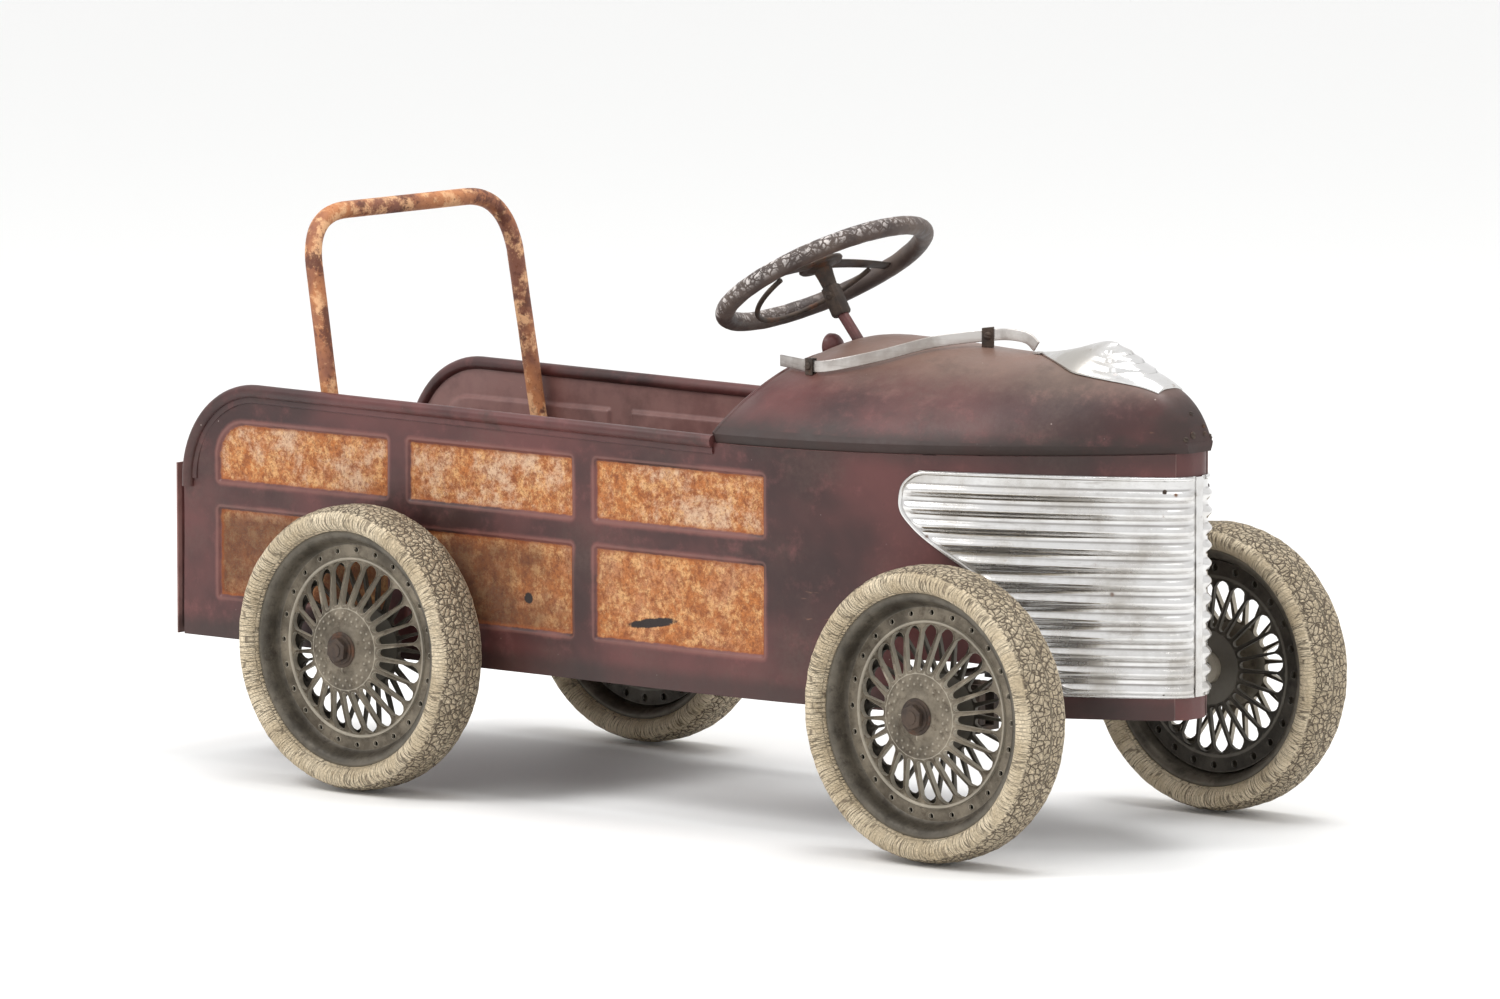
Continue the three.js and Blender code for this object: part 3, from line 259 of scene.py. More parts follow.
def side_finish():
    """Oxblood frame round rusted panels. On outer faces the attribute says how far inside a panel's edge
    a point is, in mm. On inner faces it is INDOORS."""
    f = Finish("side_paint_and_rust")
    colour, patches, fine = faded_paint(f)
    inside = f.attribute("inside")
    height = f.axis("Z")
    ragged = f.times(f.minus(f.noise(120, 5, 0.7), 0.5), 3.0)
    edge = f.plus(inside, ragged)
    worn = f.times(f.span(edge, -4.5, -0.5), f.span(f.noise(16, 5), 0.36, 0.60))
    colour = f.mix(f.times(worn, 0.75), colour, rgb(124, 74, 68))

    indoors = f.times(f.span(inside, -14, -16), f.span(f.noise(30, 5), 0.3, 0.6, 0.45, 0.8))
    colour = f.mix(indoors, colour, rgb(146, 108, 102))

    speckle = f.noise(420, 5, 0.8)
    blots = f.noise(170, 9, 0.82)
    clouds = f.noise(19, 8, 0.72, twist=0.3)
    rust = f.mix(f.span(blots, 0.36, 0.60), RUST_DEEP, RUST)
    rust = f.mix(f.span(f.noise(60, 9, 0.85), 0.47, 0.60, 0, 0.85), rust, RUST_PALE)
    upper = f.span(height, 0.215, 0.240)
    lower = f.minus(1.0, upper)
    rear = f.span(f.axis("X"), 0.02, -0.12)
    pale = f.times(f.span(f.plus(clouds, f.times(blots, 0.6)), 0.76, 0.96),
                   f.span(upper, 0, 1, 0.2, 0.75))
    rust = f.mix(pale, rust, PANEL_PALE)
    shade = f.times(lower, f.times(f.span(f.noise(10, 5), 0.34, 0.62, 0.1, 0.8), rear))
    rust = f.mix(shade, rust, rgb(74, 46, 34))
    rust = f.mix(f.span(speckle, 0.48, 0.62, 0, 0.65), rust, rgb(122, 70, 38))
    border = f.times(f.span(edge, 7.0, 3.0), 0.6)
    rust = f.mix(border, rust, rgb(150, 78, 36))
    share = f.span(edge, 2.2, 3.6)
    right = f.maths("LESS_THAN", f.axis("Y"), 0.0)
    for x, z, half_length, half_height, slope in SIDE_MARKS:
        along = f.minus(f.axis("X"), x)
        over = f.minus(f.minus(height, z), f.times(along, slope))
        along, over = f.maths("DIVIDE", along, half_length), f.maths("DIVIDE", over, half_height)
        reach = f.plus(f.times(along, along), f.times(over, over))
        reach = f.plus(reach, f.times(ragged, 0.5))
        rust = f.mix(f.times(f.span(reach, 1.2, 0.7), right), rust, rgb(46, 38, 36))
    colour = f.mix(share, colour, rust)
    rim = f.times(f.span(inside, -2.2, -0.6), f.span(inside, 1.6, 0.2))
    colour = f.mix(f.times(rim, 0.4), colour, rgb(128, 88, 80))

    # Painted shadow of the hood's lower edge along the top of the side, ahead of the cowl.
    under = f.times(f.span(height, 0.318, 0.338), f.span(f.axis("X"), 0.10, 0.14))
    colour = f.mix(f.times(under, 0.45), colour, GRIME_AND_SHADE)
    sill = f.span(f.plus(height, f.times(ragged, 0.002)), 0.136, 0.122)
    colour = f.mix(f.times(sill, 0.6), colour, GRIME_AND_SHADE)
    rough = f.plus(f.span(patches, 0.3, 0.7, 0.36, 0.52), f.times(share, 0.34))
    pits = f.times(f.plus(blots, f.times(speckle, 0.5)), share)
    normal = f.bump(fine, 0.00012, f.bump(pits, 0.0006, f.bump(f.noise(24, 3, 0.5), 0.0007)))
    return f.done(colour, rough, normal, metallic=0.05)


def tube_rust_finish():
    f = Finish("rusted_tube")
    spots = f.noise(48, 7, 0.72)
    large = f.noise(13, 4, 0.6, twist=0.5)
    fine = f.noise(260, 4, 0.7)
    colour = f.mix(f.span(large, 0.36, 0.62), rgb(128, 80, 62), rgb(186, 122, 78))
    colour = f.mix(f.span(spots, 0.48, 0.60, 0, 0.9), colour, rgb(226, 178, 134))
    colour = f.mix(f.span(f.noise(36, 7, 0.75), 0.52, 0.60, 0, 0.9), colour, rgb(96, 54, 42))
    colour = f.mix(f.span(fine, 0.54, 0.70, 0, 0.7), colour, rgb(112, 60, 34))
    normal = f.bump(spots, 0.0007, f.bump(fine, 0.0002))
    return f.done(colour, f.span(spots, 0.3, 0.7, 0.55, 0.82), normal, metallic=0.15)


def bright_finish():
    """Bright plated sheet with dust, scratches and rust pits, and painted shade in its hollows."""
    f = Finish("bright_sheet")
    cloud = f.noise(14, 6, 0.65)
    streaks = f.noise(30, 6, 0.7, f.stretched(0.4, 1.0, 4.0))
    pits = f.times(f.span(f.cells(60, "F1"), 0.16, 0.05), f.span(f.noise(19, 3), 0.55, 0.68))
    valley_shade = f.node("ShaderNodeNewGeometry").outputs["Pointiness"]
    colour = f.mix(f.span(cloud, 0.40, 0.70), rgb(222, 221, 220), rgb(186, 182, 176))
    colour = f.mix(f.span(streaks, 0.56, 0.76, 0, 0.6), colour, rgb(140, 132, 124))
    # Painted shade in the hollows, where the pointiness is low.
    colour = f.mix(f.span(valley_shade, 0.492, 0.47, 0, 0.7), colour, rgb(96, 88, 80))
    colour = f.mix(pits, colour, rgb(110, 76, 52))
    rough = f.plus(f.span(cloud, 0.35, 0.7, 0.16, 0.34), f.times(pits, 0.4))
    normal = f.bump(f.noise(60, 5, 0.6), 0.00025, f.bump(streaks, 0.00012))
    return f.done(colour, rough, normal, metallic=f.span(pits, 0, 1, 1.0, 0.3))


def aluminium_finish():
    f = Finish("brushed_aluminium")
    grain = f.noise(160, 6, 0.7, f.stretched(0.12, 0.12, 6.0))
    cloud = f.noise(22, 5, 0.6)
    colour = f.mix(f.span(cloud, 0.36, 0.68), rgb(206, 202, 198), rgb(160, 152, 146))
    colour = f.mix(f.span(grain, 0.55, 0.75, 0, 0.35), colour, rgb(120, 112, 106))
    return f.done(colour, f.span(grain, 0.3, 0.7, 0.28, 0.48), f.bump(grain, 0.00008), metallic=0.92)


def cast_finish(name, shade=1.0):
    """Dull grey metal, oxidised and dusty, with a painted highlight on its edges and painted shade in its
    corners; shade below 1 darkens it all as painted shade.
    """
    f = Finish(name)
    cloud = f.noise(24, 6, 0.68)
    grain = f.noise(420, 4, 0.7)
    spots = f.noise(80, 6, 0.72)
    edges = f.node("ShaderNodeNewGeometry").outputs["Pointiness"]

    def tone(red, green, blue):
        return rgb(red * shade, green * shade, blue * shade)

    colour = f.mix(f.span(cloud, 0.34, 0.68), tone(78, 70, 58), tone(134, 124, 108))
    colour = f.mix(f.span(spots, 0.50, 0.68, 0, 0.7), colour, tone(64, 52, 40))
    colour = f.mix(f.span(grain, 0.60, 0.80, 0, 0.4), colour, tone(176, 166, 148))
    # Painted highlight on the edges, where the pointiness is high.
    colour = f.mix(f.span(edges, 0.52, 0.60, 0, 0.75), colour, tone(196, 188, 172))
    # Painted shade in the corners and dimples, where the pointiness is low.
    colour = f.mix(f.span(edges, 0.485, 0.42, 0, 0.85), colour, tone(40, 33, 26))
    normal = f.bump(grain, 0.00018, f.bump(spots, 0.00045))
    return f.done(colour, f.span(spots, 0.3, 0.7, 0.42, 0.66), normal, metallic=0.4)


def steel_finish():
    f = Finish("dull_steel")
    spots = f.noise(55, 6, 0.7)
    fine = f.noise(300, 4, 0.7)
    colour = f.mix(f.span(spots, 0.38, 0.66), rgb(56, 47, 42), rgb(86, 72, 62))
    colour = f.mix(f.span(f.noise(34, 6, 0.7), 0.54, 0.70, 0, 0.8), colour, rgb(104, 66, 44))
    normal = f.bump(spots, 0.0004, f.bump(fine, 0.00015))
    return f.done(colour, f.span(spots, 0.3, 0.7, 0.48, 0.75), normal, metallic=0.45)


def grip_finish():
    """Brown rim whose pale skin has flaked on top, in front and behind."""
    f = Finish("flaked_grip")
    crazed = f.cells(150, place=f.warped(120, 0.006))
    blots = f.noise(120, 5, 0.7)
    flakes = f.times(f.span(crazed, 0.05, 0.16), f.span(blots, 0.42, 0.56))
    flakes = f.times(flakes, f.attribute("flaked"))
    colour = f.mix(f.span(f.noise(30, 5, 0.6), 0.35, 0.65), rgb(62, 50, 46), rgb(92, 78, 70))
    colour = f.mix(f.span(f.noise(200, 4, 0.7), 0.55, 0.75, 0, 0.6), colour, rgb(48, 37, 32))
    colour = f.mix(flakes, colour, rgb(206, 198, 194))
    normal = f.bump(flakes, 0.0005, f.bump(blots, 0.0005))
    return f.done(colour, f.span(blots, 0.3, 0.7, 0.45, 0.7), normal)


def tyre_finish():
    """Perished cream rubber: fine radial cracks on the walls, a net of deep cracks on the tread.
    Attributes: tread, from 0 to 1; around and across unroll the surface, in metres."""
    f = Finish("perished_rubber")
    around, across = f.attribute("around"), f.attribute("across")
    unrolled = f.node("ShaderNodeCombineXYZ", {0: around, 1: across, 2: 0.0}).outputs[0]
    tread = f.attribute("tread")
    wobbly = f.warped(90, 0.007, unrolled)
    net = f.cells(185, place=f.stretched(1.0, 0.8, 1.0, wobbly))
    fine_net = f.cells(420, place=f.warped(170, 0.004, unrolled))
    walls = f.cells(300, place=f.stretched(1.0, 0.10, 1.0, f.warped(70, 0.0015, unrolled)))
    broken = f.span(f.noise(60, 5, 0.7), 0.36, 0.54, 0.15, 0.8)
    crack_net = f.times(f.span(net, 0.10, 0.015), f.span(tread, 0.05, 0.5))
    crack_fine = f.times(f.span(fine_net, 0.06, 0.01), f.span(tread, 0.05, 0.5, 0.2, 0.55))
    crack_wall = f.times(f.span(walls, 0.06, 0.005), f.times(f.span(tread, 0.3, 0.0), broken))
    cracks = f.greater(crack_net, f.greater(crack_fine, crack_wall))
    cloud = f.noise(30, 5, 0.65)
    colour = f.mix(f.span(cloud, 0.36, 0.66), rgb(196, 178, 148), rgb(222, 206, 178))
    colour = f.mix(f.span(f.noise(90, 6, 0.7), 0.52, 0.72, 0, 0.55), colour, rgb(150, 130, 100))
    colour = f.mix(f.times(f.span(tread, 0.3, 0.8), 0.4), colour, rgb(196, 178, 150))
    colour = f.mix(f.times(cracks, 0.9), colour, rgb(66, 52, 38))
    height = f.minus(f.times(f.noise(240, 5, 0.7), 0.3), cracks)
    rounded = f.times(f.span(net, 0.0, 0.45), tread)
    height = f.plus(height, rounded)
    return f.done(colour, f.span(cloud, 0.3, 0.7, 0.72, 0.92), f.bump(height, 0.0022))


def pad_finish():
    f = Finish("pedal_rubber")
    worn = f.noise(90, 6, 0.7)
    colour = f.mix(f.span(worn, 0.4, 0.7), rgb(34, 32, 31), rgb(74, 68, 62))
    return f.done(colour, f.span(worn, 0.3, 0.7, 0.65, 0.9), f.bump(worn, 0.0005))


# ---------- mesh helpers ----------

def grid_faces(rows, columns, start=0, ring=False):
    """Quads over points stored row by row. With ring, each row closes on itself."""
    faces = []
    for i in range(rows - 1):
        for j in range(columns if ring else columns - 1):
            k = (j + 1) % columns
            here, above = start + i * columns, start + (i + 1) * columns
            faces.append((here + j, here + k, above + k, above + j))
    return faces


def shell(outer, inner, seal_last=True):
    """Closed sheet between two grids of points with the same rows and columns."""
    rows, columns = outer.shape[:2]
    count = rows * columns
    faces = grid_faces(rows, columns) + grid_faces(rows, columns, count)
    for i in range(rows - 1):
        for j in (0, columns - 1):
            a, b = i * columns + j, (i + 1) * columns + j
            faces.append((a, b, b + count, a + count))
    for i in (0, rows - 1) if seal_last else (0,):
        for j in range(columns - 1):
            a = i * columns + j
            faces.append((a, a + 1, a + 1 + count, a + count))
    return np.concatenate([outer.reshape(-1, 3), inner.reshape(-1, 3)]), faces


def loft(rings, closed=False):
    """Solid through rings of points, capped at its ends, or joined end to end."""
    rings = np.asarray(rings, float)
    rows, columns = rings.shape[:2]
    faces = grid_faces(rows, columns, ring=True)
    last = (rows - 1) * columns
    if closed:
        faces += [(last + j, last + (j + 1) % columns, (j + 1) % columns, j) for j in range(columns)]
    else:
        faces += [tuple(range(columns)), tuple(range(last, last + columns))]
    return rings.reshape(-1, 3), faces


def unit(vectors):
    return vectors / np.linalg.norm(vectors, axis=-1, keepdims=True)


def sweep(path, section, up=None, closed=False):
    """Carries a section, given as [sideways, upward] points, along a path."""
    path, section = np.asarray(path, float), np.asarray(section, float)
    ahead = np.roll(path, -1, 0) - np.roll(path, 1, 0)
    if not closed:
        ahead[0], ahead[-1] = path[1] - path[0], path[-1] - path[-2]
    ahead = unit(ahead)
    rings = []
    steep = abs(ahead[0][2]) >= 0.9
    upward = np.array(up or ((1.0, 0.0, 0.0) if steep else (0.0, 0.0, 1.0)))
    for point, forward in zip(path, ahead):
        side = unit(np.cross(forward, upward))
        square = np.cross(side, forward)
        rings.append(point + section[:, :1] * side + section[:, 1:] * square)
        if up is None:
            upward = square
    return loft(rings, closed)


def circle(radius, sides, squash=1.0):
    angle = np.arange(sides) / sides * 2 * math.pi
    return np.stack([radius * np.cos(angle), radius * squash * np.sin(angle)], 1)


def rounded_box(width, height, radius, steps=3):
    """Outline of a flat bar's section."""
    points = []
    for quarter, (sx, sy) in enumerate(((1, 1), (-1, 1), (-1, -1), (1, -1))):
        for i in range(steps + 1):
            angle = (quarter + i / steps) * math.pi / 2
            points.append((sx * (width / 2 - radius) + radius * math.cos(angle),
                           sy * (height / 2 - radius) + radius * math.sin(angle)))
    return np.array(points)


def piece(name, parts, material, node=None, body=None, replaces=(), smooth=38):
    """A finished piece made of closed parts, in the place of the CAD node it stands for, on that node's body
    or the given one; it hides the node's part.
    """
    bm = bmesh.new()
    for points, faces in parts:
        made = [bm.verts.new(Vector(p) * MM) for p in np.asarray(points, float)]
        for face in faces:
            corners = [made[i] for i in dict.fromkeys(face)]
            if len(corners) > 2:
                bm.faces.new(corners)
    bmesh.ops.remove_doubles(bm, verts=bm.verts, dist=2e-6)
    bmesh.ops.dissolve_degenerate(bm, edges=bm.edges, dist=1e-6)
    bmesh.ops.recalc_face_normals(bm, faces=bm.faces)
    mesh = bpy.data.meshes.new(name)
    bm.to_mesh(mesh)
    bm.free()
    mesh.shade_smooth()
    mesh.set_sharp_from_angle(angle=math.radians(smooth))
    made = bpy.data.objects.new(name, mesh)
    bpy.context.scene.collection.objects.link(made)
    mesh.materials.append(material)
    stands_for = ([node] if node else []) + list(replaces)
    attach(made, body or BODY_OF[stands_for[0]])
    if stands_for:
        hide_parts(*stands_for)
    return made


def give_attribute(made, name, value_at):
    """Stores value_at(x, y, z), with the coordinates in millimetres, on every vertex."""
    attribute = made.data.attributes.new(name, "FLOAT", "POINT")
    places = np.zeros(len(made.data.vertices) * 3, np.float32)
    made.data.vertices.foreach_get("co", places)
    x, y, z = places.reshape(-1, 3).astype(float).T / MM
    attribute.data.foreach_set("value", np.asarray(value_at(x, y, z), np.float32))


def ripple(x, y, z, wave, height):
    """Smooth random height at a point: wave is its size in mm."""
    return height * noise.noise(Vector((x, y, z)) / wave)


def drill(made, centre, axis, radius):
    """Cuts a round hole through a piece."""
    bpy.ops.mesh.primitive_cylinder_add(
        vertices=32, radius=radius * MM, depth=40 * MM, location=Vector(centre) * MM)
    cutter = bpy.context.object
    cutter.rotation_mode = "QUATERNION"
    cutter.rotation_quaternion = Vector(axis).to_track_quat("Z", "Y")
    bore = made.modifiers.new("bore", "BOOLEAN")
    bore.object, bore.operation, bore.solver = cutter, "DIFFERENCE", "EXACT"
    bpy.context.view_layer.objects.active = made
    bpy.ops.object.modifier_apply(modifier="bore")
    bpy.data.objects.remove(cutter)


def screw(centre, normal, radius=3.0, height=1.6, slot=True):
    """Domed screw head with a slot across it, as rings round its own axis."""
    normal = unit(np.array(normal, float))
    side = unit(np.cross(normal, (0.3, 0.2, 1.0)))
    across = np.cross(normal, side)
    angle = np.arange(20) / 20 * 2 * math.pi
    rings = []
    for share, rise in ((1.0, -0.8), (1.0, 0.25), (0.88, 0.65), (0.6, 0.9), (0.3, 1.0), (0.08, 1.0)):
        lift = np.full(20, rise * height if rise > 0 else rise)
        if slot and share < 0.9:
            lift = lift - 0.6 * (np.abs(np.sin(angle)) * share < 0.2)
        ring = np.outer(np.cos(angle), side) + np.outer(np.sin(angle), across)
        rings.append(np.array(centre) + ring * radius * share + np.outer(lift, normal))
    return loft(rings)


# ---------- body curves ----------

TAPER_LENGTH = 432
TAPER_POWER = 2.1
RAIL_FALL = 5
RAIL_TAIL = 8
CORNER_RADIUS = 83
CORNER_X = SIDE_REAR_X + CORNER_RADIUS + RAIL_RADIUS
CORNER_Z = RAIL_Z - CORNER_RADIUS
HOOD_LIP = 8
HOOD_PROUD = 1.4
EDGE_POWER = 0.9  # below 1 rounds the hood down to its lower edge


def half_width(x):
    along = np.clip((x - COWL_X) / TAPER_LENGTH, 0, 1)
    return BODY_HALF_WIDTH * (1 - along ** TAPER_POWER)


def belt_z(x):
    along = np.clip((x - COWL_X) / (NOSE_X - COWL_X), 0, 1)
    return BELT_REAR_Z + (BELT_FRONT_Z - BELT_REAR_Z) * along ** 2


def crest_z(x):
    """The hood's centre line: a rise over the cowl, an almost level run and the fall to the nose."""
    top_x, shoulder_x, cowl_z, shoulder_z = 195, 400, 398, 409.3
    back = np.clip((top_x - x) / (top_x - COWL_X), 0, 1)
    along = np.clip((x - top_x) / (shoulder_x - top_x), 0, 1)
    down = np.clip((x - shoulder_x) / (NOSE_X - shoulder_x), 0, 1)
    level = CREST_Z - (CREST_Z - cowl_z) * back ** 2 - (CREST_Z - shoulder_z) * along ** 1.2
    fall = belt_z(x) + (shoulder_z - belt_z(x)) * (1 - down ** 2.4) ** (1 / 2.4)
    return np.where(x > shoulder_x, fall, level)


def section_power(x):
    return 1.6 + 0.8 * np.clip((x - COWL_X) / 360, 0, 1) + 1.4 * np.clip((x - 440) / 80, 0, 1) ** 2


def hood_z(x, y):
    across = np.minimum(1, np.abs(y) / (half_width(x) + HOOD_PROUD))
    low = belt_z(x) + HOOD_LIP
    return low + (crest_z(x) - low) * (1 - across ** section_power(x)) ** EDGE_POWER


def hood_normal(x, y):
    step = 0.5
    slope_x = (hood_z(x + step, y) - hood_z(x - step, y)) / (2 * step)
    slope_y = (hood_z(x, y + step) - hood_z(x, y - step)) / (2 * step)
    return unit(np.array([-slope_x, -slope_y, 1.0]))


# ---------- sides ----------

PANEL_DEPTH = 3
PANEL_BEVEL = 4
PANEL_COLUMNS = ((-471, -266), (-244, -50), (-27, 166))
PANEL_ROWS = ((149, 232), (253, 309))
PANEL_CORNER = 4
REAR_PANEL_CORNER = 33
INDOORS = -20  # value of the attribute on the inner faces


def panel_inside(x, z):
    """How far inside the nearest panel's edge a point lies. It is negative on the frame between them."""
    best = np.full(np.shape(x), -100.0)
    for column, (rear, front) in enumerate(PANEL_COLUMNS):
        for row, (low, high) in enumerate(PANEL_ROWS):
            to_side, to_end = np.minimum(x - rear, front - x), np.minimum(z - low, high - z)
            rounded = (column == 0) & (row == 1) & (x < (rear + front) / 2) & (z > (low + high) / 2)
            corner = np.where(rounded, REAR_PANEL_CORNER, PANEL_CORNER)
            from_centre = np.hypot(corner - to_side, corner - to_end)
            in_corner = (to_side < corner) & (to_end < corner)
            best = np.maximum(best, np.where(in_corner, corner - from_centre, np.minimum(to_side, to_end)))
    return best


def panel_depth(x, z):
    share = np.clip(panel_inside(x, z) / PANEL_BEVEL, 0, 1)
    return PANEL_DEPTH * share * share * (3 - 2 * share)


def side_top(x):
    """Upper edge of the side sheet: inside the rail's bead round the rear corner, then under the hood."""
    radius = CORNER_RADIUS - 1
    arc = CORNER_Z + np.sqrt(np.clip(radius ** 2 - np.minimum(x - CORNER_X, 0) ** 2, 0, None))
    straight = RAIL_Z - 1 - RAIL_FALL * np.clip((x - CORNER_X) / (COWL_X - CORNER_X), 0, 1)
    top = np.where(x < CORNER_X - radius, CORNER_Z - RAIL_TAIL - 0.4, np.where(x < CORNER_X, arc, straight))
    return np.where(x > COWL_X, belt_z(x) - 0.4, top)


NOTCH = (302, 403, 158)  # opening over the steering arms: rear, front and top


def side_bottom(x):
    return np.where((x > NOTCH[0]) & (x < NOTCH[1]), NOTCH[2], SILL_Z)


def fine_near(edges, offsets=(-4, -2, 0, 1, 2, 3, 4, 7)):
    """Stations on both sides of each panel edge, offset into the panel."""
    return [place for low, high in edges for d in offsets for place in (low + d, high - d)]


def side_face(x, z, sign):
    """Distance of a side's outer face from the centre plane, with its panels and dents."""
    dents = np.vectorize(lambda a, b: ripple(a, sign * 90, b, 85, 1.1))(x, z) * np.clip((275 - x) / 60, 0, 1)
    return half_width(x) - panel_depth(x, z) + dents * np.clip((RAIL_Z - 12 - z) / 20, 0, 1)


def side_sheet(side, sign):
    corner_start = CORNER_X - CORNER_RADIUS + 1
    step = 0.02
    columns = np.unique(np.round(np.concatenate([
        np.arange(SIDE_REAR_X, SIDE_FRONT_X, 7), fine_near(PANEL_COLUMNS), np.arange(-484, -444, 2),
        corner_start + np.array([-step, 0.0, 0.4, 1, 2, 4, 7]), [COWL_X, COWL_X + step, SIDE_FRONT_X],
        [NOTCH[0] - step, NOTCH[0] + step, NOTCH[1] - step, NOTCH[1] + step]]), 2))
    rows = np.unique(np.round(np.concatenate([
        np.arange(SILL_Z, RAIL_Z, 7), fine_near(PANEL_ROWS), np.arange(274, 312, 2), [NOTCH[2], 345]]), 2))
    x, z = np.meshgrid(columns, rows, indexing="ij")
    z = np.clip(z, side_bottom(x), side_top(x))
    y = side_face(x, z, sign)
    outer = np.stack([x, sign * y, z], -1)
    inner = np.stack([x, sign * (y - SHEET), z], -1)
    made = piece(f"side_sheet_{side}", [shell(outer, inner)], side_made, node=f"side_panel_{side}", smooth=55)

    def inside(vx, vy, vz):
        depth = side_face(vx, vz, sign) - np.abs(vy)
        return np.where(depth > SHEET / 2, INDOORS, np.clip(panel_inside(vx, vz), -12, 12))

    give_attribute(made, "inside", inside)
    drill(made, (rear_axle_x, sign * (BODY_HALF_WIDTH - 3), axle_z), (0, 1, 0), 11)
    return made


def rail_path():
    turn = np.linspace(math.pi, math.pi / 2, 22)
    arc = np.stack([CORNER_X + CORNER_RADIUS * np.cos(turn), CORNER_Z + CORNER_RADIUS * np.sin(turn)], 1)
    straight_x = np.linspace(CORNER_X, rail_high[0], 40)[1:]
    fall = RAIL_FALL * (straight_x - CORNER_X) / (rail_high[0] - CORNER_X)
    straight = np.stack([straight_x, RAIL_Z - fall], 1)
    tail = np.array([[CORNER_X - CORNER_RADIUS, CORNER_Z - drop] for drop in (RAIL_TAIL, RAIL_TAIL / 2)])
    return np.concatenate([tail, arc, straight])


def top_rail(side, sign):
    """Rolled bead along the top of a side, with the narrow turned lip under it."""
    path = np.array([(x, sign * BODY_HALF_WIDTH, z) for x, z in rail_path()])
    bead = circle(RAIL_RADIUS - 0.1, 20)
    bead = bead * (1 + 0.03 * np.cos(3 * np.arange(20) / 20 * 2 * math.pi))[:, None]
    lip = np.array([(-4.5, -0.2), (-4.5, 1.6), (-8.5, 1.8), (-10.5, 1.2), (-11.0, -0.2)]) * (sign, 1)
    parts = [sweep(path, bead, up=(0, sign, 0)), sweep(path[2:], lip, up=(0, sign, 0))]
    wavy = []
    for points, faces in parts:
        lift = [ripple(*p, 40, 0.5) for p in points]
        wavy.append((points + np.outer(lift, (0, sign, 0)), faces))
    return piece(f"rolled_rail_{side}", wavy, paint_made, node=f"top_rail_{side}", smooth=50)


# ---------- nose curve shared by the front strip and the grille ----------

CURVE_START_X = 500
FRONT_X = 518.2
FLANGE_HALF = 4.5
ROUND_FROM = 0.84  # share of the grille's length at which its plan starts to round in


def nose_curve(share):
    """Plan of the front, from CURVE_START_X on the side, round to the flange on the centre line."""
    start_y = half_width(np.array(CURVE_START_X))
    slope = -BODY_HALF_WIDTH * TAPER_POWER / TAPER_LENGTH * (
        (CURVE_START_X - COWL_X) / TAPER_LENGTH) ** (TAPER_POWER - 1)
    turn_y = start_y + slope * (FRONT_X - CURVE_START_X)
    keep, go = (1 - share) ** 2, share ** 2
    between = 2 * share * (1 - share)
    x = keep * CURVE_START_X + (between + go) * FRONT_X
    y = keep * start_y + between * turn_y + go * FLANGE_HALF
    return x, y


def plan_at(share, rear_x):
    """Point in plan at a share of the way from rear_x to the front flange."""
    along = np.clip(share / ROUND_FROM, 0, 1)
    x_side = rear_x + (CURVE_START_X - rear_x) * along
    round_share = np.clip((share - ROUND_FROM) / (1 - ROUND_FROM), 0, 1)
    x_round, y_round = nose_curve(round_share)
    on_side = share < ROUND_FROM
    return np.where(on_side, x_side, x_round), np.where(on_side, half_width(x_side), y_round)


def proud(x, y, height):
    """Moves a line of plan points outward by height."""
    ahead = np.stack([np.gradient(x, axis=-1), np.gradient(y, axis=-1)], -1)
    ahead = unit(ahead)
    return x - ahead[..., 1] * height, y + ahead[..., 0] * height


def front_strip():
    share = np.linspace(0, 1, 16)
    x_half, y_half = nose_curve(share)
    x = np.concatenate([x_half, x_half[::-1]])
    y = np.concatenate([y_half, -y_half[::-1]])
    keep = np.abs(y) < half_width(np.array(SIDE_FRONT_X)) + 1.5
    x, y = x[keep], y[keep]
    rows = np.linspace(SILL_Z, side_high[2], 30)
    outer = np.stack([np.stack([x, y, np.full(len(x), z)], 1) for z in rows])
    inner = outer.copy()
    inner[..., 0] -= SHEET
    return piece("nose_strip", [shell(outer, inner)], paint_made, node="front_strip", smooth=50)


# ---------- grille ----------

RIB_COUNT = 12
RIB_PITCH = 15.1
RIB_TOP_Z = 304.3
RIB_HEIGHT = 3.6
GRILLE_SKIN = 1.2
GRILLE_OUTLINE = ((132, 432), (139, 425), (165, 414), (197, 395), (229, 366), (273, 307), (284, 298),
                  (298, grille_rear_x_low), (311, 301), (321, 314))  # height and rearmost X


def grille_rear_x(z):
    """Rear edge of the grille: a smooth curve through its outline."""
    heights, edges = np.array(GRILLE_OUTLINE, float).T
    slopes = np.gradient(edges, heights)
    i = np.clip(np.searchsorted(heights, z) - 1, 0, len(heights) - 2)
    gap = heights[i + 1] - heights[i]
    t = (z - heights[i]) / gap
    return ((2 * t ** 3 - 3 * t ** 2 + 1) * edges[i] + (t ** 3 - 2 * t ** 2 + t) * gap * slopes[i]
            + (3 * t ** 2 - 2 * t ** 3) * edges[i + 1] + (t ** 3 - t ** 2) * gap * slopes[i + 1])


def rib(z):
    offset = (z - RIB_TOP_Z + RIB_PITCH / 2) % RIB_PITCH - RIB_PITCH / 2
    number = np.round((RIB_TOP_Z - z) / RIB_PITCH)
    wave = np.cos(np.clip(np.abs(offset) / 5.4, 0, 1) * math.pi / 2) ** 1.2
    return wave * ((number >= 0) & (number < RIB_COUNT))


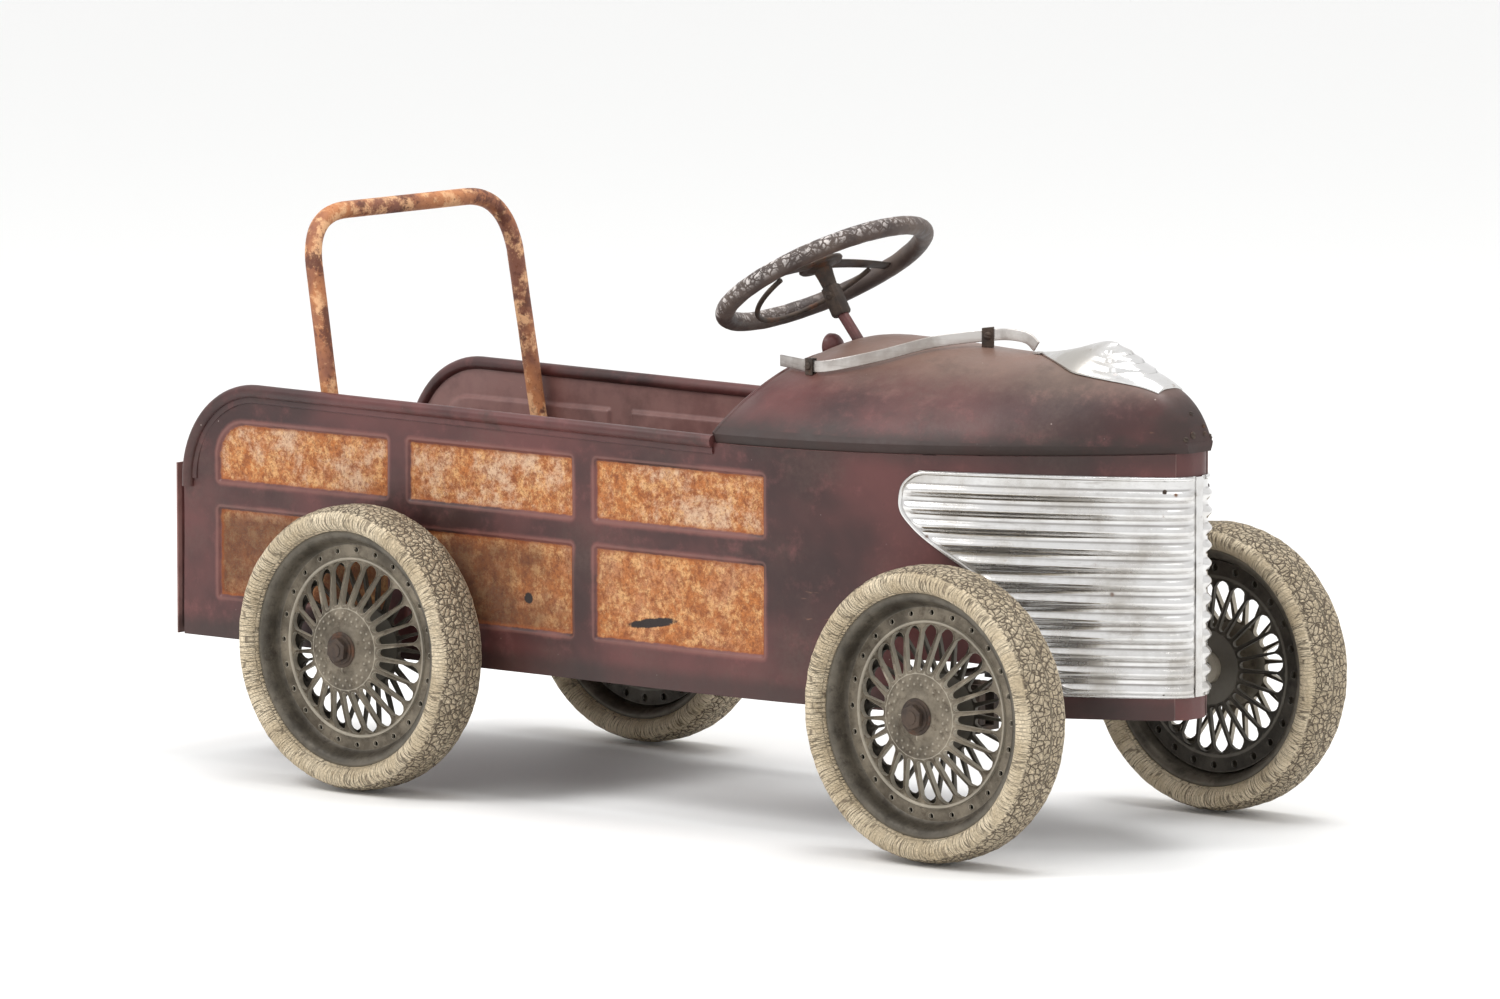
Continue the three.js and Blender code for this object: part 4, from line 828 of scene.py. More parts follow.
def grille_half(side, sign):
    low, high = GRILLE_OUTLINE[0][0], GRILLE_OUTLINE[-1][0]
    z = np.linspace(low, high, 176)
    share = np.concatenate([np.linspace(0, 0.06, 12), np.linspace(0.075, ROUND_FROM, 34)[:-1],
                            np.linspace(ROUND_FROM, 1, 18)])
    z, share = np.meshgrid(z, share, indexing="ij")
    rear = grille_rear_x(z)
    x, y = plan_at(share, rear)
    from_edge = np.minimum(np.minimum(x - rear, 3 * (z - low)), 3 * (high - z))
    fade = np.clip(from_edge / 11, 0, 1)
    fade = fade * fade * (3 - 2 * fade) * np.clip((1 - share) / 0.035, 0, 1)
    dull = np.vectorize(lambda a, b: ripple(a, 7 * sign, b, 22, 0.35))(x, z)
    height = 0.4 + GRILLE_SKIN + RIB_HEIGHT * rib(z) * fade + dull * fade
    inner_x, inner_y = proud(x, y, height - GRILLE_SKIN)
    outer_x, outer_y = proud(x, y, height)
    outer = np.stack([outer_x, sign * outer_y, z], -1)
    inner = np.stack([inner_x, sign * inner_y, z], -1)
    return piece(f"grille_skin_{side}", [shell(outer, inner), grille_bead(sign)], bright_made,
                 node=f"grille_{side}", smooth=60)


def grille_bead(sign):
    """Half-round bead that runs round the grille's rear, lower and upper edges."""
    low, high = GRILLE_OUTLINE[0][0] + 2, GRILLE_OUTLINE[-1][0] - 2
    up = np.linspace(low, high, 90)
    front = np.linspace(0.98, 0.02, 60)
    route = [(low, s) for s in front] + [(z, 0.0) for z in up[1:-1]] + [(high, s) for s in front[::-1]]
    path = []
    for z, share in route:
        rear = grille_rear_x(np.array(z)) + 1.6
        (x, ahead_x), (y, ahead_y) = plan_at(np.array([share, min(share + 0.005, 1)]), rear)
        normal = unit(np.array([ahead_y - y, x - ahead_x]))
        path.append((x - normal[0] * 1.7, sign * (y - normal[1] * 1.7), z))
    path = np.array(path)
    return sweep(path, circle(1.9, 10), up=(0, 1, 0))


def grille_flange():
    """Narrow flange where the two halves meet on the centre line."""
    z = np.linspace(GRILLE_OUTLINE[0][0] + 0.5, GRILLE_OUTLINE[-1][0] - 0.5, 60)
    front = FRONT_X + 0.6
    path = np.array([(front + 1.6 + ripple(0, 0, v, 30, 0.4), ripple(0, 9, v, 50, 0.6), v) for v in z])
    return piece("grille_flange", [sweep(path, rounded_box(8.6, 2.6, 1.0), up=(1, 0, 0))], bright_made,
                 node="grille_front_strip", smooth=50)


# ---------- hood ----------

def hood_shell():
    share = np.linspace(0, 1, 96)
    span = NOSE_X - COWL_X
    x = COWL_X + span * np.sin(share * math.pi / 2)
    turn = np.linspace(0, math.pi, 61)
    across = np.concatenate([[-1, -1], -np.cos(turn), [1, 1]])
    lip = np.concatenate([[0, 0.5], np.ones(61), [0.5, 0]])
    x, across = np.meshgrid(x, across, indexing="ij")
    lip = np.broadcast_to(lip, x.shape)
    width = half_width(x) + HOOD_PROUD
    rise = np.maximum(0.5, crest_z(x) - belt_z(x) - HOOD_LIP)
    height = HOOD_LIP * lip + rise * (1 - np.minimum(1, np.abs(across)) ** section_power(x)) ** EDGE_POWER
    bumps = np.vectorize(lambda a, b: ripple(a, b, 0, 70, 1.0))(x, across * width)
    settle = np.clip(height / 30, 0, 1)
    tuck = 3.0 * (1 - lip) ** 1.5
    outer = np.stack([x, across * (width - tuck), belt_z(x) + height + bumps * settle], -1)
    thinner = 1 - SHEET / np.maximum(HOOD_LIP + rise, 2 * SHEET)
    inner = np.stack([COWL_X + (x - COWL_X) * (span - SHEET) / span, across * (width - tuck - SHEET),
                      belt_z(x) + height * thinner + bumps * settle], -1)
    grids = []
    for grid in (outer, inner):
        shut = grid[-1:].copy()
        shut[..., 1] = 0
        grids.append(np.concatenate([grid, shut]))
    return shell(*grids, seal_last=False)


def cowl_bead():
    """Narrow rolled edge round the cowl."""
    y = (half_width(COWL_X) + HOOD_PROUD - 1) * -np.cos(np.linspace(0.02, math.pi - 0.02, 60))
    path = np.array([(COWL_X - 1.0, v, hood_z(COWL_X, v) - 1.2) for v in y])
    return sweep(path, circle(1.9, 8))


def hood_piece():
    made = piece("hood_shell", [hood_shell(), cowl_bead()], hood_made, node="hood", smooth=50)
    tilt = math.radians(COLUMN_SLOPE)
    centre = np.array(COLUMN_FOOT) + 56 * np.array([math.cos(tilt), 0, -math.sin(tilt)])
    drill(made, centre, (math.cos(tilt), 0, -math.sin(tilt)), COLUMN_RADIUS + 3)
    return made


def nose_screws():
    """Screws round the front end of the hood."""
    heads = []
    for x, y, radius in ((512, -1, 2.2), (519.6, -8, 3.2), (519.6, 8, 2.2), (517.5, 9, 2.0), (519.0, 17, 2.4),
                         (519.0, -17, 2.4)):
        heads.append(screw((x, y, hood_z(x, y)), hood_normal(x, y), radius, 1.2))
    return piece("nose_screws", heads, steel_made, body="chassis")


def grille_screws():
    heads = []
    for _, sign in SIDES:
        for z in (RIB_TOP_Z + 4.5, 137):
            x, y = plan_at(np.array([0.86]), 430.0)
            heads.append(screw((x[0] + 2.4, sign * (y[0] + 2.4), z), (0.66, sign, 0), 1.9, 1.0))
    return piece("grille_screws", heads, steel_made, body="chassis")


# ---------- hood trim ----------

STRAP_HEIGHT = 10
STRAP_STATIONS = ((104, -54, 1.5), (135, -74, 2), (164, -86, 2), (186, -87, 2.5), (226, -67, 2.5),
                  (259, -35, 3), (292, -2, 5), (314, 1, 8), (332, 2, 7), (342, 2, 1))
# X, Y and height over the hood
STRAP_STEPS = 10  # points from one station to the next
CLIP_STATIONS = ((2, "strap_clip_rear"), (6, "strap_clip_front"))


def strap_line():
    """Middle line of the band that runs from the cowl's right corner up to the crest."""
    low = [(x, y, float(hood_z(np.array(max(x, COWL_X), float), y)) + lift) for x, y, lift in STRAP_STATIONS]
    return catmull(low, STRAP_STEPS) + (0, 0, STRAP_HEIGHT / 2)


def hood_strap():
    path = strap_line()
    section = rounded_box(2.0, STRAP_HEIGHT, 0.7)
    points, faces = sweep(path, section, up=(0, 0, 1))
    foot_place = path[-1] + (3, 0, -STRAP_HEIGHT / 2)
    foot = rounded_box(8, 1.6, 0.6)
    tab = loft([[foot_place + (a, y, b) for a, b in foot] for y in (-4, 4)])
    return piece("bright_strap", [(points, faces), tab], aluminium_made, node="hood_strap", smooth=50)


def strap_clip(station, node):
    """Folded clip that grips the strap, with a screw through it."""
    path, middle = strap_line(), station * STRAP_STEPS
    place, ahead = path[middle], unit(path[middle + 1] - path[middle - 1])
    out = unit(np.cross(ahead, (0, 0, 1)))
    low = float(hood_z(np.array(place[0]), place[1])) - place[2] - 0.5
    high = STRAP_HEIGHT / 2 + 1.8
    outline = [(-2.8, low), (-2.8, high), (2.8, high), (2.8, low),
               (1.5, low), (1.5, high - 1.5), (-1.5, high - 1.5), (-1.5, low)]
    rings = []
    for shift in np.linspace(-5.2, 5.2, 7):
        narrow = 1 - 0.12 * (shift / 5.2) ** 2
        rings.append([place + ahead * shift + out * a * narrow + np.array((0, 0, b)) for a, b in outline])
    parts = [loft(rings), screw(place + out * 2.9, out, 3.6, 2.4)]
    return piece(f"folded_{node}", parts, steel_made, node=node)


def cowl_lug():
    """Pressed half-dome that stands on the cowl's edge, with a small screw in its face."""
    low, high = box_mm("cowl_lug")
    radius = (high[1] - low[1]) / 2
    centre = np.array([COWL_X + 4, 0, high[2] - radius + 1])
    rings = []
    for share, depth in ((1.0, -2.0), (1.0, 2.0), (0.93, 4.5), (0.7, 8.0), (0.35, 10.5), (0.05, 11.0)):
        turn = np.linspace(0, 2 * math.pi, 28, endpoint=False)
        ring = np.stack([np.full(28, depth), radius * share * np.cos(turn), radius * share * np.sin(turn)], 1)
        rings.append(centre + ring)
    parts = [loft(rings), screw(centre + (-2.2, 0, 1.5), (-1, 0, 0), 3.2, 1.6)]
    return piece("cowl_dome", parts, paint_made, node="cowl_lug", smooth=50)


# X, half width and height over the hood
ORNAMENT_STATIONS = ((350, 1.5, 1), (368, 13, 4), (388, 23.5, 9), (407, 31, 15), (424, 31.5, 18.5),
                     (440, 29.5, 15.5), (458, 25.5, 8.5), (474, 21, 3.5), (489, 16.5, 1))
FIN_STEP = 4.4


def ornament():
    """Plain streamlined ornament: a drop with a pointed tail, a domed back and terraces down its front."""
    rings = []
    for x, half, crown in catmull(ORNAMENT_STATIONS, 14):
        ring = []
        stepped = np.clip((x - 420) / 10, 0, 1)
        for t in np.linspace(-1, 1, 49):
            y = half * t
            dome = crown * (1 - abs(t) ** 1.7) ** 1.1
            fins = stepped * np.clip(dome / 3, 0, 1) * np.clip((19 - dome) / 3, 0, 1)
            terrace = 1.7 * ((dome / FIN_STEP) % 1.0) * fins
            ring.append((x, y, float(hood_z(x, y)) + 1.8 + dome - terrace))
        for t in np.linspace(1, -1, 49):
            ring.append((x, half * t, float(hood_z(x, half * t)) + 0.4))
        rings.append(ring)
    return piece("ornament", [loft(rings)], bright_made, node="hood_ornament", smooth=30)


# ---------- steering ----------

WHEEL_TILT = math.radians(60)
COLUMN_SLOPE = 50
COLLAR_LENGTH = 44
COLUMN_RADIUS = 5
HUB_RISE = 9
rim_low, rim_high = box_mm("steering_rim")
RIM_CENTRE = (rim_low + rim_high) / 2
UP_WHEEL = np.array([-math.cos(WHEEL_TILT), 0, math.sin(WHEEL_TILT)])
FORWARD_WHEEL = np.array([math.sin(WHEEL_TILT), 0, math.cos(WHEEL_TILT)])
RIM_TUBE = 8.6
RIM_RADIUS = (rim_high[1] - rim_low[1]) / 2 - RIM_TUBE
COLUMN_FOOT = RIM_CENTRE + UP_WHEEL * (HUB_RISE - COLLAR_LENGTH)


def tilted(points):
    """From the steering wheel's own frame, with local +Z up its axis, to the row frame."""
    points = np.asarray(points, float)
    return RIM_CENTRE + points[:, :1] * FORWARD_WHEEL + points[:, 1:2] * (0, 1, 0) + points[:, 2:] * UP_WHEEL


def steering_rim():
    rings = []
    for turn in np.linspace(0, 2 * math.pi, 144, endpoint=False):
        ring = []
        for roll in np.linspace(0, 2 * math.pi, 24, endpoint=False):
            out, up = math.cos(roll), math.sin(roll)
            lump = noise.noise(Vector((math.cos(turn) * 9, math.sin(turn) * 9, roll * 0.9))) * 0.35
            radius = RIM_TUBE - 0.2 + lump
            reach = RIM_RADIUS + radius * out
            ring.append((reach * math.cos(turn), reach * math.sin(turn), radius * up * 0.97))
        rings.append(tilted(ring))
    made = piece("grip_rim", [loft(rings, closed=True)], grip_made, node="steering_rim", smooth=60)

    def flaked(x, y, z):
        offset = np.stack([x, y, z], -1) - RIM_CENTRE
        height = offset @ UP_WHEEL
        back = -(offset @ FORWARD_WHEEL) / RIM_RADIUS
        right = -offset[:, 1] / RIM_RADIUS
        return np.clip((height + 5) / 6, 0, 1) * np.clip(0.55 + 0.7 * right + 0.1 * back, 0, 1)

    give_attribute(made, "flaked", flaked)
    return made


def steering_spokes():
    """Two tapered spokes and the round hub plate that they spring from."""
    parts = []
    reach = RIM_RADIUS - RIM_TUBE + 1.5
    for _, sign in SIDES:
        rings = []
        for share in np.linspace(0, 1, 24):
            wide = 8.5 - 3.0 * share
            thick = 2.4 - 0.5 * share
            rise = HUB_RISE - 8.5 * share ** 1.7
            section = circle(1, 16)
            rings.append([(wide * a, sign * reach * share, rise + thick * b) for a, b in section])
        parts.append(loft([tilted(ring) for ring in rings]))
    profile = [(19, HUB_RISE - 2.4), (20.5, HUB_RISE - 0.6), (20, HUB_RISE + 1.2), (15, HUB_RISE + 2.8),
               (7, HUB_RISE + 3.2), (7, HUB_RISE - 3)]
    parts.append(turned(profile, 40))
    return piece("spokes_and_hub", parts, steel_made, node="steering_spokes", smooth=45)


def turned(profile, segments):
    """Revolves a closed [radius, height] profile round the steering wheel's axis."""
    rings = []
    for turn in np.linspace(0, 2 * math.pi, segments, endpoint=False):
        rings.append(tilted([(r * math.cos(turn), r * math.sin(turn), h) for r, h in profile]))
    return loft(rings, closed=True)


def horn_ring():
    path = []
    for share in np.linspace(0, 1, 60):
        angle = math.pi / 2 + share * math.pi
        lift = -1.0 - 8.5 * math.sin(share * math.pi)
        path.append((72 * math.cos(angle), 60 * math.sin(angle), lift))
    return piece("horn_half_ring", [sweep(tilted(path), circle(2.3, 12))], steel_made, node="horn_ring")


def steering_collar():
    """Square collar that is clamped on the column, with its clamp nut on the side."""
    parts = []
    end = HUB_RISE - COLLAR_LENGTH - 5
    stations = ((HUB_RISE - 2.6, 14.5, 0.0), (HUB_RISE - 5, 8.5, 0.0), (HUB_RISE - 12, 7.2, 0.1),
                (HUB_RISE - 21, 6.4, 0.1), (HUB_RISE - 22, 7.2, 0.5), (end + 2, 7.4, 0.5), (end, 6.6, 0.4))
    rings = []
    for height, radius, square in stations:
        ring = []
        for turn in np.linspace(0, 2 * math.pi, 32, endpoint=False):
            reach = radius / max(abs(math.cos(turn)), abs(math.sin(turn))) ** square
            ring.append((reach * math.cos(turn), reach * math.sin(turn), height))
        rings.append(tilted(ring))
    parts.append(loft(rings))
    nut = tilted([(0, -6.0, HUB_RISE - 30)])[0]
    parts.append(screw(nut, (0, -1, 0), 4.0, 3.0))
    return piece("column_collar", parts, steel_made, node="steering_collar", smooth=42)


def hub_nut():
    hexagon = circle(1, 6)
    rings = [[(r * a, r * b, HUB_RISE + h) for a, b in hexagon]
             for r, h in ((6.6, 3.0), (6.6, 6.8), (5.4, 7.9))]
    stud = [[(r * a, r * b, HUB_RISE + h) for a, b in circle(1, 16)]
            for r, h in ((3.2, 6.0), (3.2, 9.6), (2.4, 10.3))]
    parts = [loft([tilted(ring) for ring in rings]), loft([tilted(ring) for ring in stud])]
    return piece("hub_nut", parts, steel_made, node="steering_hub_nut", smooth=30)


# ---------- push hoop, seat and tailgate ----------

HOOP_POINTS = ((-322, 138.6, 181.8), (-368, 134.5, 448), (-379.7, 80, 498))  # foot, knee and top, on the left


def push_hoop():
    foot, knee, top = np.array(HOOP_POINTS)
    corner = np.array((top[0], knee[1] - 2, top[2]))
    leg = [foot + (knee - foot) * s for s in np.linspace(0, 1, 30)[:-1]]
    bend = [(1 - s) ** 2 * knee + 2 * s * (1 - s) * corner + s * s * top for s in np.linspace(0, 1, 20)]
    half = np.array(leg + bend)
    bar = np.linspace(top, top * (1, -1, 1), 24)[1:-1]
    path = np.concatenate([half, bar, half[::-1] * (1, -1, 1)])
    points, faces = sweep(path, circle(7.7, 20))
    points = points + np.array([ripple(*p, 26, 0.35) for p in points])[:, None] * (1, 0, 0)
    return piece("hoop_tube", [(points, faces)], tube_made, node="push_hoop")


def seat_pan():
    """Flat pan with two shallow pressed stiffening grooves and a rounded front lip."""
    low, high = box_mm("seat_pan")
    drop = high[2] - low[2]
    flat_end = high[0] - 9
    turn = np.linspace(0, math.pi / 2, 7)
    flat = np.linspace(low[0], flat_end, 90)
    x = np.concatenate([flat, flat_end + 8.6 * np.sin(turn[1:]), [high[0] - 0.2]])
    fall = np.concatenate([np.zeros(90), 6 * (1 - np.cos(turn[1:])), [drop - 0.2]])
    y = np.linspace(low[1] + 0.2, high[1] - 0.2, 70)
    grid_x, grid_y = np.meshgrid(x, y, indexing="ij")
    grid_fall = np.broadcast_to(fall[:, None], grid_x.shape)
    ends = np.clip((grid_x - low[0] - 40) / 20, 0, 1) * np.clip((flat_end - 40 - grid_x) / 20, 0, 1)
    groove = 1.5 * np.exp(-((np.abs(grid_y) - 62) / 6) ** 2) * ends
    outer = np.stack([grid_x, grid_y, high[2] - grid_fall - groove - 0.05], -1)
    slope = np.gradient(fall, x)
    inward = np.clip(slope, 0, 1) * 1.5
    inner = outer.copy()
    inner[..., 2] -= 1.6 * (1 - np.clip(slope, 0, 1))[:, None]
    inner[..., 0] -= inward[:, None]
    return piece("seat_sheet", [shell(outer, inner)], interior_made, node="seat_pan", smooth=45)


def tailgate():
    """Drop panel with one broad pressed field, and its two hinge straps."""
    low, high = box_mm("tailgate")
    y = np.unique(np.concatenate([np.linspace(low[1], high[1], 60), [s * (low[1] + d) for s in (1, -1)
                                                                     for d in (18, 20, 22, 24)]]))
    z = np.unique(np.concatenate([np.linspace(low[2], high[2], 36), [low[2] + d for d in (18, 20, 22, 24)],
                                  [high[2] - d for d in (18, 20, 22, 24)]]))
    y, z = np.meshgrid(y, z, indexing="ij")
    inside = np.minimum(np.minimum(y - low[1], high[1] - y), np.minimum(z - low[2], high[2] - z)) - 18
    share = np.clip(inside / 6, 0, 1)
    push = 2.0 * share * share * (3 - 2 * share)
    bow = np.vectorize(lambda a, b: ripple(a, b, 40, 90, 1.0))(y, z) * np.clip((inside + 18) / 12, 0, 1)
    x = low[0] + push + bow * 0.6
    outer = np.stack([x, y, z], -1)
    inner = np.stack([x + SHEET, y, z], -1)
    parts = [shell(outer, inner)]
    rod_low, rod_high = box_mm("tailgate_hinge_rod")
    rod_x, rod_z = (rod_low[0] + rod_high[0]) / 2, (rod_low[2] + rod_high[2]) / 2
    for middle in (-100, 100):
        parts.append(hinge_strap(low[0] + SHEET + 0.1, rod_x, rod_z, middle))
    made = piece("tailgate_panel", parts, side_made, node="tailgate", smooth=45)
    give_attribute(made, "inside", lambda vx, vy, vz: np.minimum(
        np.minimum(vy - low[1], high[1] - vy), np.minimum(vz - low[2], high[2] - vz)) - 20)
    return made


def hinge_strap(panel_x, rod_x, rod_z, middle):
    """Strap rolled once round the hinge rod."""
    turn = np.linspace(math.pi / 2, -math.pi, 18)
    outer_radius, inner_radius = 4.6, 3.3
    roll = [(rod_x + outer_radius * math.cos(a), rod_z + outer_radius * math.sin(a)) for a in turn]
    inner = [(rod_x + inner_radius * math.cos(a), rod_z + inner_radius * math.sin(a)) for a in turn[::-1]]
    outline = [(panel_x, rod_z + outer_radius)] + roll + inner + [(panel_x, rod_z + inner_radius)]
    return loft([[(x, y, z) for x, z in outline] for y in (middle - 10, middle + 10)])


# ---------- wheels ----------

PETALS = 24
PITCH = 2 * math.pi / PETALS
tyre_low, tyre_high = box_mm("rear_left_tyre")
WHEEL_RADIUS = (tyre_high[2] - tyre_low[2]) / 2
axle_z = (tyre_high[2] + tyre_low[2]) / 2
rear_axle_x = (tyre_high[0] + tyre_low[0]) / 2
HUB_EDGE = 36
PETAL_END = 78
DISC = ((12, 21.4), (24, 21.4), (HUB_EDGE, 20.4), (74, 4.6), (PETAL_END, 3.6), (93, 3.6))
BACK_DISC = ((14.5, -13), (32, -13), (74, -4), (92.8, -4))


class Wheel:
    """Places [radius, angle, outward] points on one wheel."""

    def __init__(self, name):
        low, high = box_mm(f"{name}_tyre")
        self.name = name
        self.centre = (low + high) / 2
        self.sign = 1 if self.centre[1] > 0 else -1

    def at(self, radius, angle, out):
        return np.stack(np.broadcast_arrays(
            self.centre[0] + radius * np.cos(angle), self.centre[1] + self.sign * out,
            self.centre[2] + radius * np.sin(angle)), -1)

    def lathe(self, profile, segments=120):
        """Revolves a closed [radius, outward] profile."""
        radius, out = np.array(profile, float).T
        angle = np.linspace(0, 2 * math.pi, segments, endpoint=False)[:, None]
        return loft(self.at(radius, angle, out), closed=True)

    def pierced(self, outline, inner, outer, height, thickness, lip, flange, turn=0.0):
        """Ring with one hole in each sector. The hole's outline has one point for each point of the sector's
        edge, and height(radius) gives the level of the ring's front face."""
        edge = sector_edge(inner, outer)
        shares = np.array([0, 0.35, 0.65, 0.82, 0.93, 1.0])
        front, back = [], []
        for share in shares:
            loop = edge * (1 - share) + outline * share
            gap = np.hypot(*(loop - outline).T)
            raised = lip * np.clip(1 - gap / 1.9, 0, 1) ** 1.2
            level = height(np.hypot(*loop.T))
            front.append((loop, level + raised))
            sunk = flange * np.clip(1 - gap / 1.2, 0, 1)
            back.append((loop, level - thickness - sunk))
        loops = front + back[::-1]
        count = len(edge)
        points, faces = [], []
        for k in range(PETALS):
            angle = k * PITCH + turn
            start = k * len(loops) * count
            for loop, level in loops:
                spin = np.arctan2(loop[:, 1], loop[:, 0]) + angle
                points.append(self.at(np.hypot(*loop.T), spin, level))
            faces += grid_faces(len(loops), count, start, ring=True)
            last = start + (len(loops) - 1) * count
            for j in range(count):
                following = (j + 1) % count
                radii = np.hypot(*edge[[j, following]].T)
                if abs(radii[0] - radii[1]) < 1e-6 and abs(edge[j, 1] - edge[following, 1]) > 1e-6:
                    faces.append((start + j, start + following, last + following, last + j))
        return np.concatenate(points), faces


EDGE_ARC, EDGE_SIDE = 7, 11


def sector_edge(inner, outer):
    """Edge points of one sector, as [along, sideways]: inner arc, far side, outer arc, near side."""
    sweep_in = np.linspace(-PITCH / 2, PITCH / 2, EDGE_ARC)
    side = np.linspace(inner, outer, EDGE_SIDE + 2)[1:-1]
    inner_arc = np.stack([inner * np.cos(sweep_in), inner * np.sin(sweep_in)], 1)
    outer_arc = np.stack([outer * np.cos(-sweep_in), outer * np.sin(-sweep_in)], 1)
    far = np.stack([side * math.cos(PITCH / 2), side * math.sin(PITCH / 2)], 1)
    near = (far * (1, -1))[::-1]
    return np.concatenate([inner_arc, far, outer_arc, near])


def petal_outline(start, end, start_half, end_half):
    """Long hole, narrow and round at the hub and wide and round at the rim."""
    first, last = start + start_half, end - end_half
    swing = np.radians(80)
    turn = np.linspace(-swing, swing, EDGE_ARC)
    inner_cap = np.stack([first - start_half * np.cos(turn), start_half * np.sin(turn)], 1)
    outer_cap = np.stack([last + end_half * np.cos(-turn), end_half * np.sin(-turn)], 1)
    share = np.linspace(0, 1, EDGE_SIDE + 2)[1:-1][:, None]
    far = inner_cap[-1] * (1 - share) + outer_cap[0] * share
    return np.concatenate([inner_cap, far, outer_cap, (far * (1, -1))[::-1]])


def round_outline(middle, radius, inner, outer):
    edge = sector_edge(inner, outer)
    away = unit(edge - (middle, 0))
    return np.array((middle, 0)) + away * radius


def lying_on(profile):
    radii, heights = np.array(profile, float).T
    return lambda radius: np.interp(radius, radii, heights)


def catmull(points, steps):
    """Smooth line through a few points, in any number of dimensions."""
    points = np.array(points, float)
    padded = np.concatenate([points[:1] * 2 - points[1:2], points, points[-1:] * 2 - points[-2:-1]])
    line = []
    for a, b, c, d in zip(padded, padded[1:], padded[2:], padded[3:]):
        for t in np.arange(steps) / steps:
            line.append(0.5 * (2 * b + (c - a) * t + (2 * a - 5 * b + 4 * c - d) * t ** 2
                               + (3 * b - a - 3 * c + d) * t ** 3))
    return np.array(line + [points[-1]])


# Outer half of the tyre's section: fall below the tread's middle, and distance from the middle plane.
TYRE_WALL = ((0, 0), (0.3, 8), (1.2, 15), (3.0, 20.5), (4.8, 24.0), (6.6, 26.6), (11.5, 28.8), (16.5, 27.6),
             (20.5, 23.2), (22.6, 18.7))


def tyre(wheel):
    top = WHEEL_RADIUS
    wall = catmull([(top - drop, out) for drop, out in TYRE_WALL], 4)
    seat = np.array([(104.4, 14.8), (97.4, 14.6), (97.4, 5)])
    half = np.concatenate([wall, seat])
    profile = np.concatenate([half, (half * (1, -1))[::-1][:-1]])
    segments = 288
    angle = np.linspace(0, 2 * math.pi, segments, endpoint=False)
    rings = []
    for turn in angle:
        lumps = []
        for radius, out in profile:
            on_tread = np.clip((radius - 118) / 4, 0, 1)
            spot = Vector((math.cos(turn) * radius, out, math.sin(turn) * radius + 300 * wheel.centre[0]))
            lumps.append(-0.5 * on_tread * (1 + noise.noise(spot / 5.5)) - 0.3 * (1 + noise.noise(spot / 17)))
        shift = np.array(lumps) * (profile[:, 0] > 106)
        rings.append(wheel.at(profile[:, 0] + shift, turn, profile[:, 1] * (1 + shift / 60)))
    made = piece(f"{wheel.name}_tread", [loft(rings, closed=True)], tyre_made,
                 node=f"{wheel.name}_tyre", smooth=70)

    def polar(x, y, z):
        return np.hypot(x - wheel.centre[0], z - wheel.centre[2]), np.abs(y - wheel.centre[1])

    def tread(x, y, z):
        return np.clip((polar(x, y, z)[0] - (top - 6.5)) / 3.0, 0, 1)

    def around(x, y, z):
        turn = np.arctan2(z - wheel.centre[2], x - wheel.centre[0])
        return np.abs(turn) * top * MM

    def across(x, y, z):
        radius, out = polar(x, y, z)
        return (np.where(out > 22, 22 + (top - radius), out) + 60 * np.sign(y - wheel.centre[1])) * MM

    give_attribute(made, "tread", tread)
    give_attribute(made, "around", around)
    give_attribute(made, "across", across)
    return made


RIM_FLANGE = ((100.2, 18.4), (102.8, 18.8), (104.2, 17.8), (104.1, 16.2), (101.5, 15.3), (97.3, 14.2))


def wheel_rim(wheel):
    """Deep rim, and the slotted disc in it with its riveted hub face and a row of small holes."""
    barrel = [(91, 3.6), (92.6, 4.6), (94.0, 8), (95.6, 12.5), (97.6, 16.4), *RIM_FLANGE,
              *[(radius, -out) for radius, out in RIM_FLANGE[::-1]],
              (97.6, -16.4), (95.6, -13), (94.4, -3), (93.4, 0.6), (91, 1.4)]
    step = [(77.2, 4.6), (78.2, 5.6), (79.6, 5.7), (80.4, 4.6), (80.4, 1.8), (77.2, 1.8)]
    on_disc = lying_on(DISC)
    petals = wheel.pierced(petal_outline(38.4, 76.6, 3.5, 8.3), HUB_EDGE, PETAL_END, on_disc, 1.9, 1.1, 2.0)
    holes = wheel.pierced(round_outline(86.6, 2.4, 79.5, 92), 79.5, 92, on_disc, 2.0, 0.4, 0.3)
    piece(f"{wheel.name}_barrel", [wheel.lathe(barrel)], shaded_barrel_made, node=f"{wheel.name}_rim", smooth=45)
    parts = [wheel.lathe(step), petals, holes, hub_face(wheel)]
    return piece(f"{wheel.name}_slotted_disc", parts, cast_made, node=f"{wheel.name}_front_disc", smooth=45)


def hub_face(wheel):
    """Hub drum: a face with two rings of rivets round a raised boss, and the sleeve behind it."""
    radius = np.concatenate([[6.5, 13.9, 14, 20, 21.2, 23], np.linspace(24, HUB_EDGE + 0.4, 18)])
    rise = np.concatenate([[23.6, 23.6, 23.5, 23.2, 22.0, 21.4], 21.4 - np.linspace(0, 1.0, 18) ** 2])
    angle = np.linspace(0, 2 * math.pi, 288, endpoint=False)
    grid_angle, grid_radius = np.meshgrid(angle, radius, indexing="ij")
    level = np.broadcast_to(rise, grid_radius.shape).copy()
    for ring_radius, turn in ((27.4, 0.5), (32.2, 0.0)):
        nearest = (np.round(grid_angle / PITCH - turn) + turn) * PITCH
        gap = np.hypot(grid_radius - ring_radius, ring_radius * (grid_angle - nearest))
        level += 1.5 * np.clip(1 - (gap / 2.0) ** 2, 0, 1)
    front = wheel.at(grid_radius, grid_angle, level)
    tail = [(HUB_EDGE + 0.4, 18.4), (14, 17), (14, -20), (6.5, -20)]
    back = np.stack([wheel.at(r, angle, w) for r, w in tail], 1)
    return loft(np.concatenate([front, back], 1), closed=True)


